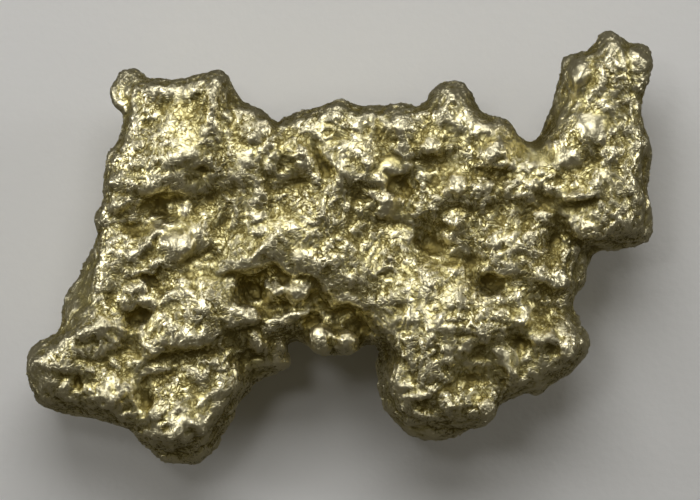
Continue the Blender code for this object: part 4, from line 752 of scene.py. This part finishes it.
def crumple(mesh, layers):
    """Works folds, wrinkles and sheets into the skin, along its normals. A layer is its kind and
    height, its size, its turns or steps if it has them, and its warp and seed."""
    co, n = points_of(mesh), normals_of(mesh)
    moved = sum(height * (kind(co, *sizes) - 0.4) for kind, height, *sizes in layers)
    move_points(mesh, co + n * (moved * crinkled(mesh))[:, None])


def settle(mesh, times):
    """Wears the front's small lumps and hollows down, which leaves its broad shape for the single forms."""
    co, n = points_of(mesh), normals_of(mesh)
    front = smoothstep(0.3, 0.8, n[:, 2]) * smoothstep(RIM, RIM + 4.0, co[:, 2])
    move_points(mesh, co + (spread(co, edges_of(mesh), times) - co) * front[:, None])


def mark(mesh, name, value):
    """Keeps a value at each point, for the finish."""
    mesh.attributes.new(name, "FLOAT", "POINT").data.foreach_set("value", value.astype(np.float32))


# The skin is built up in turn: the solid's own mesh made fine and settled, the slopes and the other
# forms, then coarse and fine crinkling.
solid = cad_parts["nugget"].data.copy()
solid.materials.clear()
move_points(solid, points_of(solid) / MM)
skin = modified(solid, "REMESH", mode="VOXEL", voxel_size=FORM_GRAIN)
skin = modified(skin, "SMOOTH", factor=0.5, iterations=3)
settle(skin, times=30)
work_in(skin, SLOPES, sway=1.4, swing=5.0)
work_in(skin, FORMS, sway=0.6, swing=2.4)
skin = modified(skin, "REMESH", mode="VOXEL", voxel_size=FORM_GRAIN)
crumple(skin, [(folds, 0.26, 5.0, 0.9, 1), (facets, 0.36, 3.4, 0.6, 7)])
skin = modified(skin, "REMESH", mode="VOXEL", voxel_size=SKIN_GRAIN)
crinkling = crinkled(skin)
crumple(skin, [(facets, 0.16, 1.9, 0.5, 8), (folds, 0.10, 2.6, 0.9, 6), (sheets, 0.24, 7.0, 5.0, 0.8, 2),
               (worms, 0.22, 4.0, 3.2, 0.9, 3)])
mark(skin, "crinkle", crinkling)
skin = modified(skin, "TRIANGULATE")
skin = modified(skin, "DECIMATE", ratio=min(1.0, SKIN_FACES / len(skin.polygons)))

# Its skin stays inside the solid's box, and on the plane that it rests on.
low, high = (np.array(corner) / MM for corner in solid_box)
move_points(skin, np.clip(points_of(skin), low, high) * MM)
finished = points_of(skin) / MM, normals_of(skin), edges_of(skin)
# How deep each point lies in a crease and in a broad hollow, for the painted shade of the finish.
mark(skin, "crease", sunk(*finished, times=10))
mark(skin, "hollow", sunk(*finished, times=90))
skin.shade_smooth()
nugget = bpy.data.objects.new("nugget_skin", skin)
bpy.context.scene.collection.objects.link(nugget)

# Its finish: pale gold with a little silver in it and a random brown-olive mottle of dirt. Painted shade
# turns it brown-olive down in the creases, the hollows and the seams between wrinkles, and painted light
# makes it paler on the open faces.
GOLD_BRIGHT = (0.90, 0.83, 0.56, 1.0)
GOLD_PALE = (0.76, 0.68, 0.32, 1.0)
GOLD_DULL = (0.20, 0.155, 0.038, 1.0)
WRINKLE_LIFT = 0.13  # these four are heights of the finest relief, in millimetres
STEP_LIFT = 0.11
CHIP_LIFT = 0.16
GRAIN_LIFT = 0.012
SEAM_SHARPNESS = 2.4  # the higher, the thinner the dark lines between wrinkles
WRINKLE_TURNS = 4.4  # how many wrinkles the noise is folded into
STEP_RISE = 0.7  # growth steps to each millimetre of height
gold, shader = new_finish("native_gold")


def scaled(vector, amount):
    return Wire.node("ShaderNodeVectorMath", {"operation": "SCALE"}, {0: vector, "Scale": amount})


millimetres = scaled(Wire.node("ShaderNodeTexCoord", output="Object"), 1.0 / MM)


def speckle(scale, detail=2.0, distortion=0.0):
    """Noise round 0.5, with a number of blotches to the millimetre."""
    return Wire.node("ShaderNodeTexNoise", sockets={
        "Vector": millimetres, "Scale": scale, "Detail": detail, "Distortion": distortion})


def vectors(operation, first, second, output="Vector"):
    return Wire.node("ShaderNodeVectorMath", {"operation": operation}, {0: first, 1: second}, output)


def shards(size, bend):
    """Small broken faces: (the height of each, tilted its own way, and the dark seams between them)."""
    drift = vectors("SUBTRACT", speckle(0.6 / size, detail=1.0).also("Color"), (0.5, 0.5, 0.5))
    bent = vectors("ADD", millimetres, scaled(drift, bend * size))
    where = {"Vector": bent, "Scale": 1.0 / size}
    cell = Wire.node("ShaderNodeTexVoronoi", sockets=where)
    tilt = vectors("SUBTRACT", cell.also("Color"), (0.5, 0.5, 0.5))
    height = vectors("DOT_PRODUCT", vectors("SUBTRACT", bent, cell.also("Position")), tilt, "Value")
    edge = Wire.node("ShaderNodeTexVoronoi", {"feature": "DISTANCE_TO_EDGE"}, where)
    return height, (1.0 - edge * 7.0).clamped()


def waves(angle):
    """Rounded waves, one to each whole step of the angle, 0 in the creases between them."""
    return abs((angle * np.pi).sine())


def seams(made):
    """1 in the creases of wrinkles or steps."""
    return (1.0 - made * SEAM_SHARPNESS).clamped()


def kept(name):
    """A value that was marked on the skin."""
    return Wire.node("ShaderNodeAttribute", {"attribute_name": name}, output="Fac")


def blend(share, first, second):
    """A colour mixed from two, all of the second where the share is 1."""
    return Wire.node("ShaderNodeMix", {"data_type": "RGBA"}, {0: share, 6: first, 7: second}, output=2)


crease, sag, crinkle = kept("crease"), kept("hollow"), kept("crinkle")
level = Wire.node("ShaderNodeSeparateXYZ", sockets={0: millimetres}, output="Z")
fine = waves(speckle(0.45, detail=0.0, distortion=0.8) * WRINKLE_TURNS)
steps = waves(level * STEP_RISE + speckle(0.36, detail=0.0, distortion=0.9) * WRINKLE_TURNS)
chips, cracks = shards(size=1.2, bend=1.8)
busy = ((speckle(0.12, detail=1.0) - 0.32) * 5.0).clamped(0.5, 1.0) * crinkle.clamped(0.15, 1.0)
seam = (seams(fine) + seams(steps) * 0.9 + cracks * 0.8) * busy
relief = fine.clamped(0.0, 0.5) * WRINKLE_LIFT + steps.clamped(0.0, 0.5) * STEP_LIFT + chips * CHIP_LIFT
relief = relief * (busy * 0.85 + 0.15) + speckle(3.0, detail=3.0) * GRAIN_LIFT
# Painted shade: brown-olive GOLD_DULL in the creases, the hollows and the seams between wrinkles, over a
# random mottle of dirt.
dirt_and_painted_shade = (crease * 2.2 + sag * 0.3 + (speckle(0.30, detail=3.0) - 0.5) * 0.5 + seam * 1.1).clamped()
# Painted light: a paler gold, GOLD_BRIGHT, on the open faces away from the creases and hollows.
painted_light_share = (0.27 - crease * 3.0 - sag * 0.4).clamped()
plug(shader, Base_Color=blend(dirt_and_painted_shade * 0.9, blend(painted_light_share, GOLD_PALE, GOLD_BRIGHT), GOLD_DULL), Metallic=1.0,
     Roughness=(dirt_and_painted_shade * 0.2 + speckle(2.5) * 0.14 + 0.26).clamped(),
     Normal=Wire.node("ShaderNodeBump", sockets={"Strength": 1.0, "Distance": MM, "Height": relief}))
skin.materials.append(gold)
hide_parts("nugget")
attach(nugget, "root")
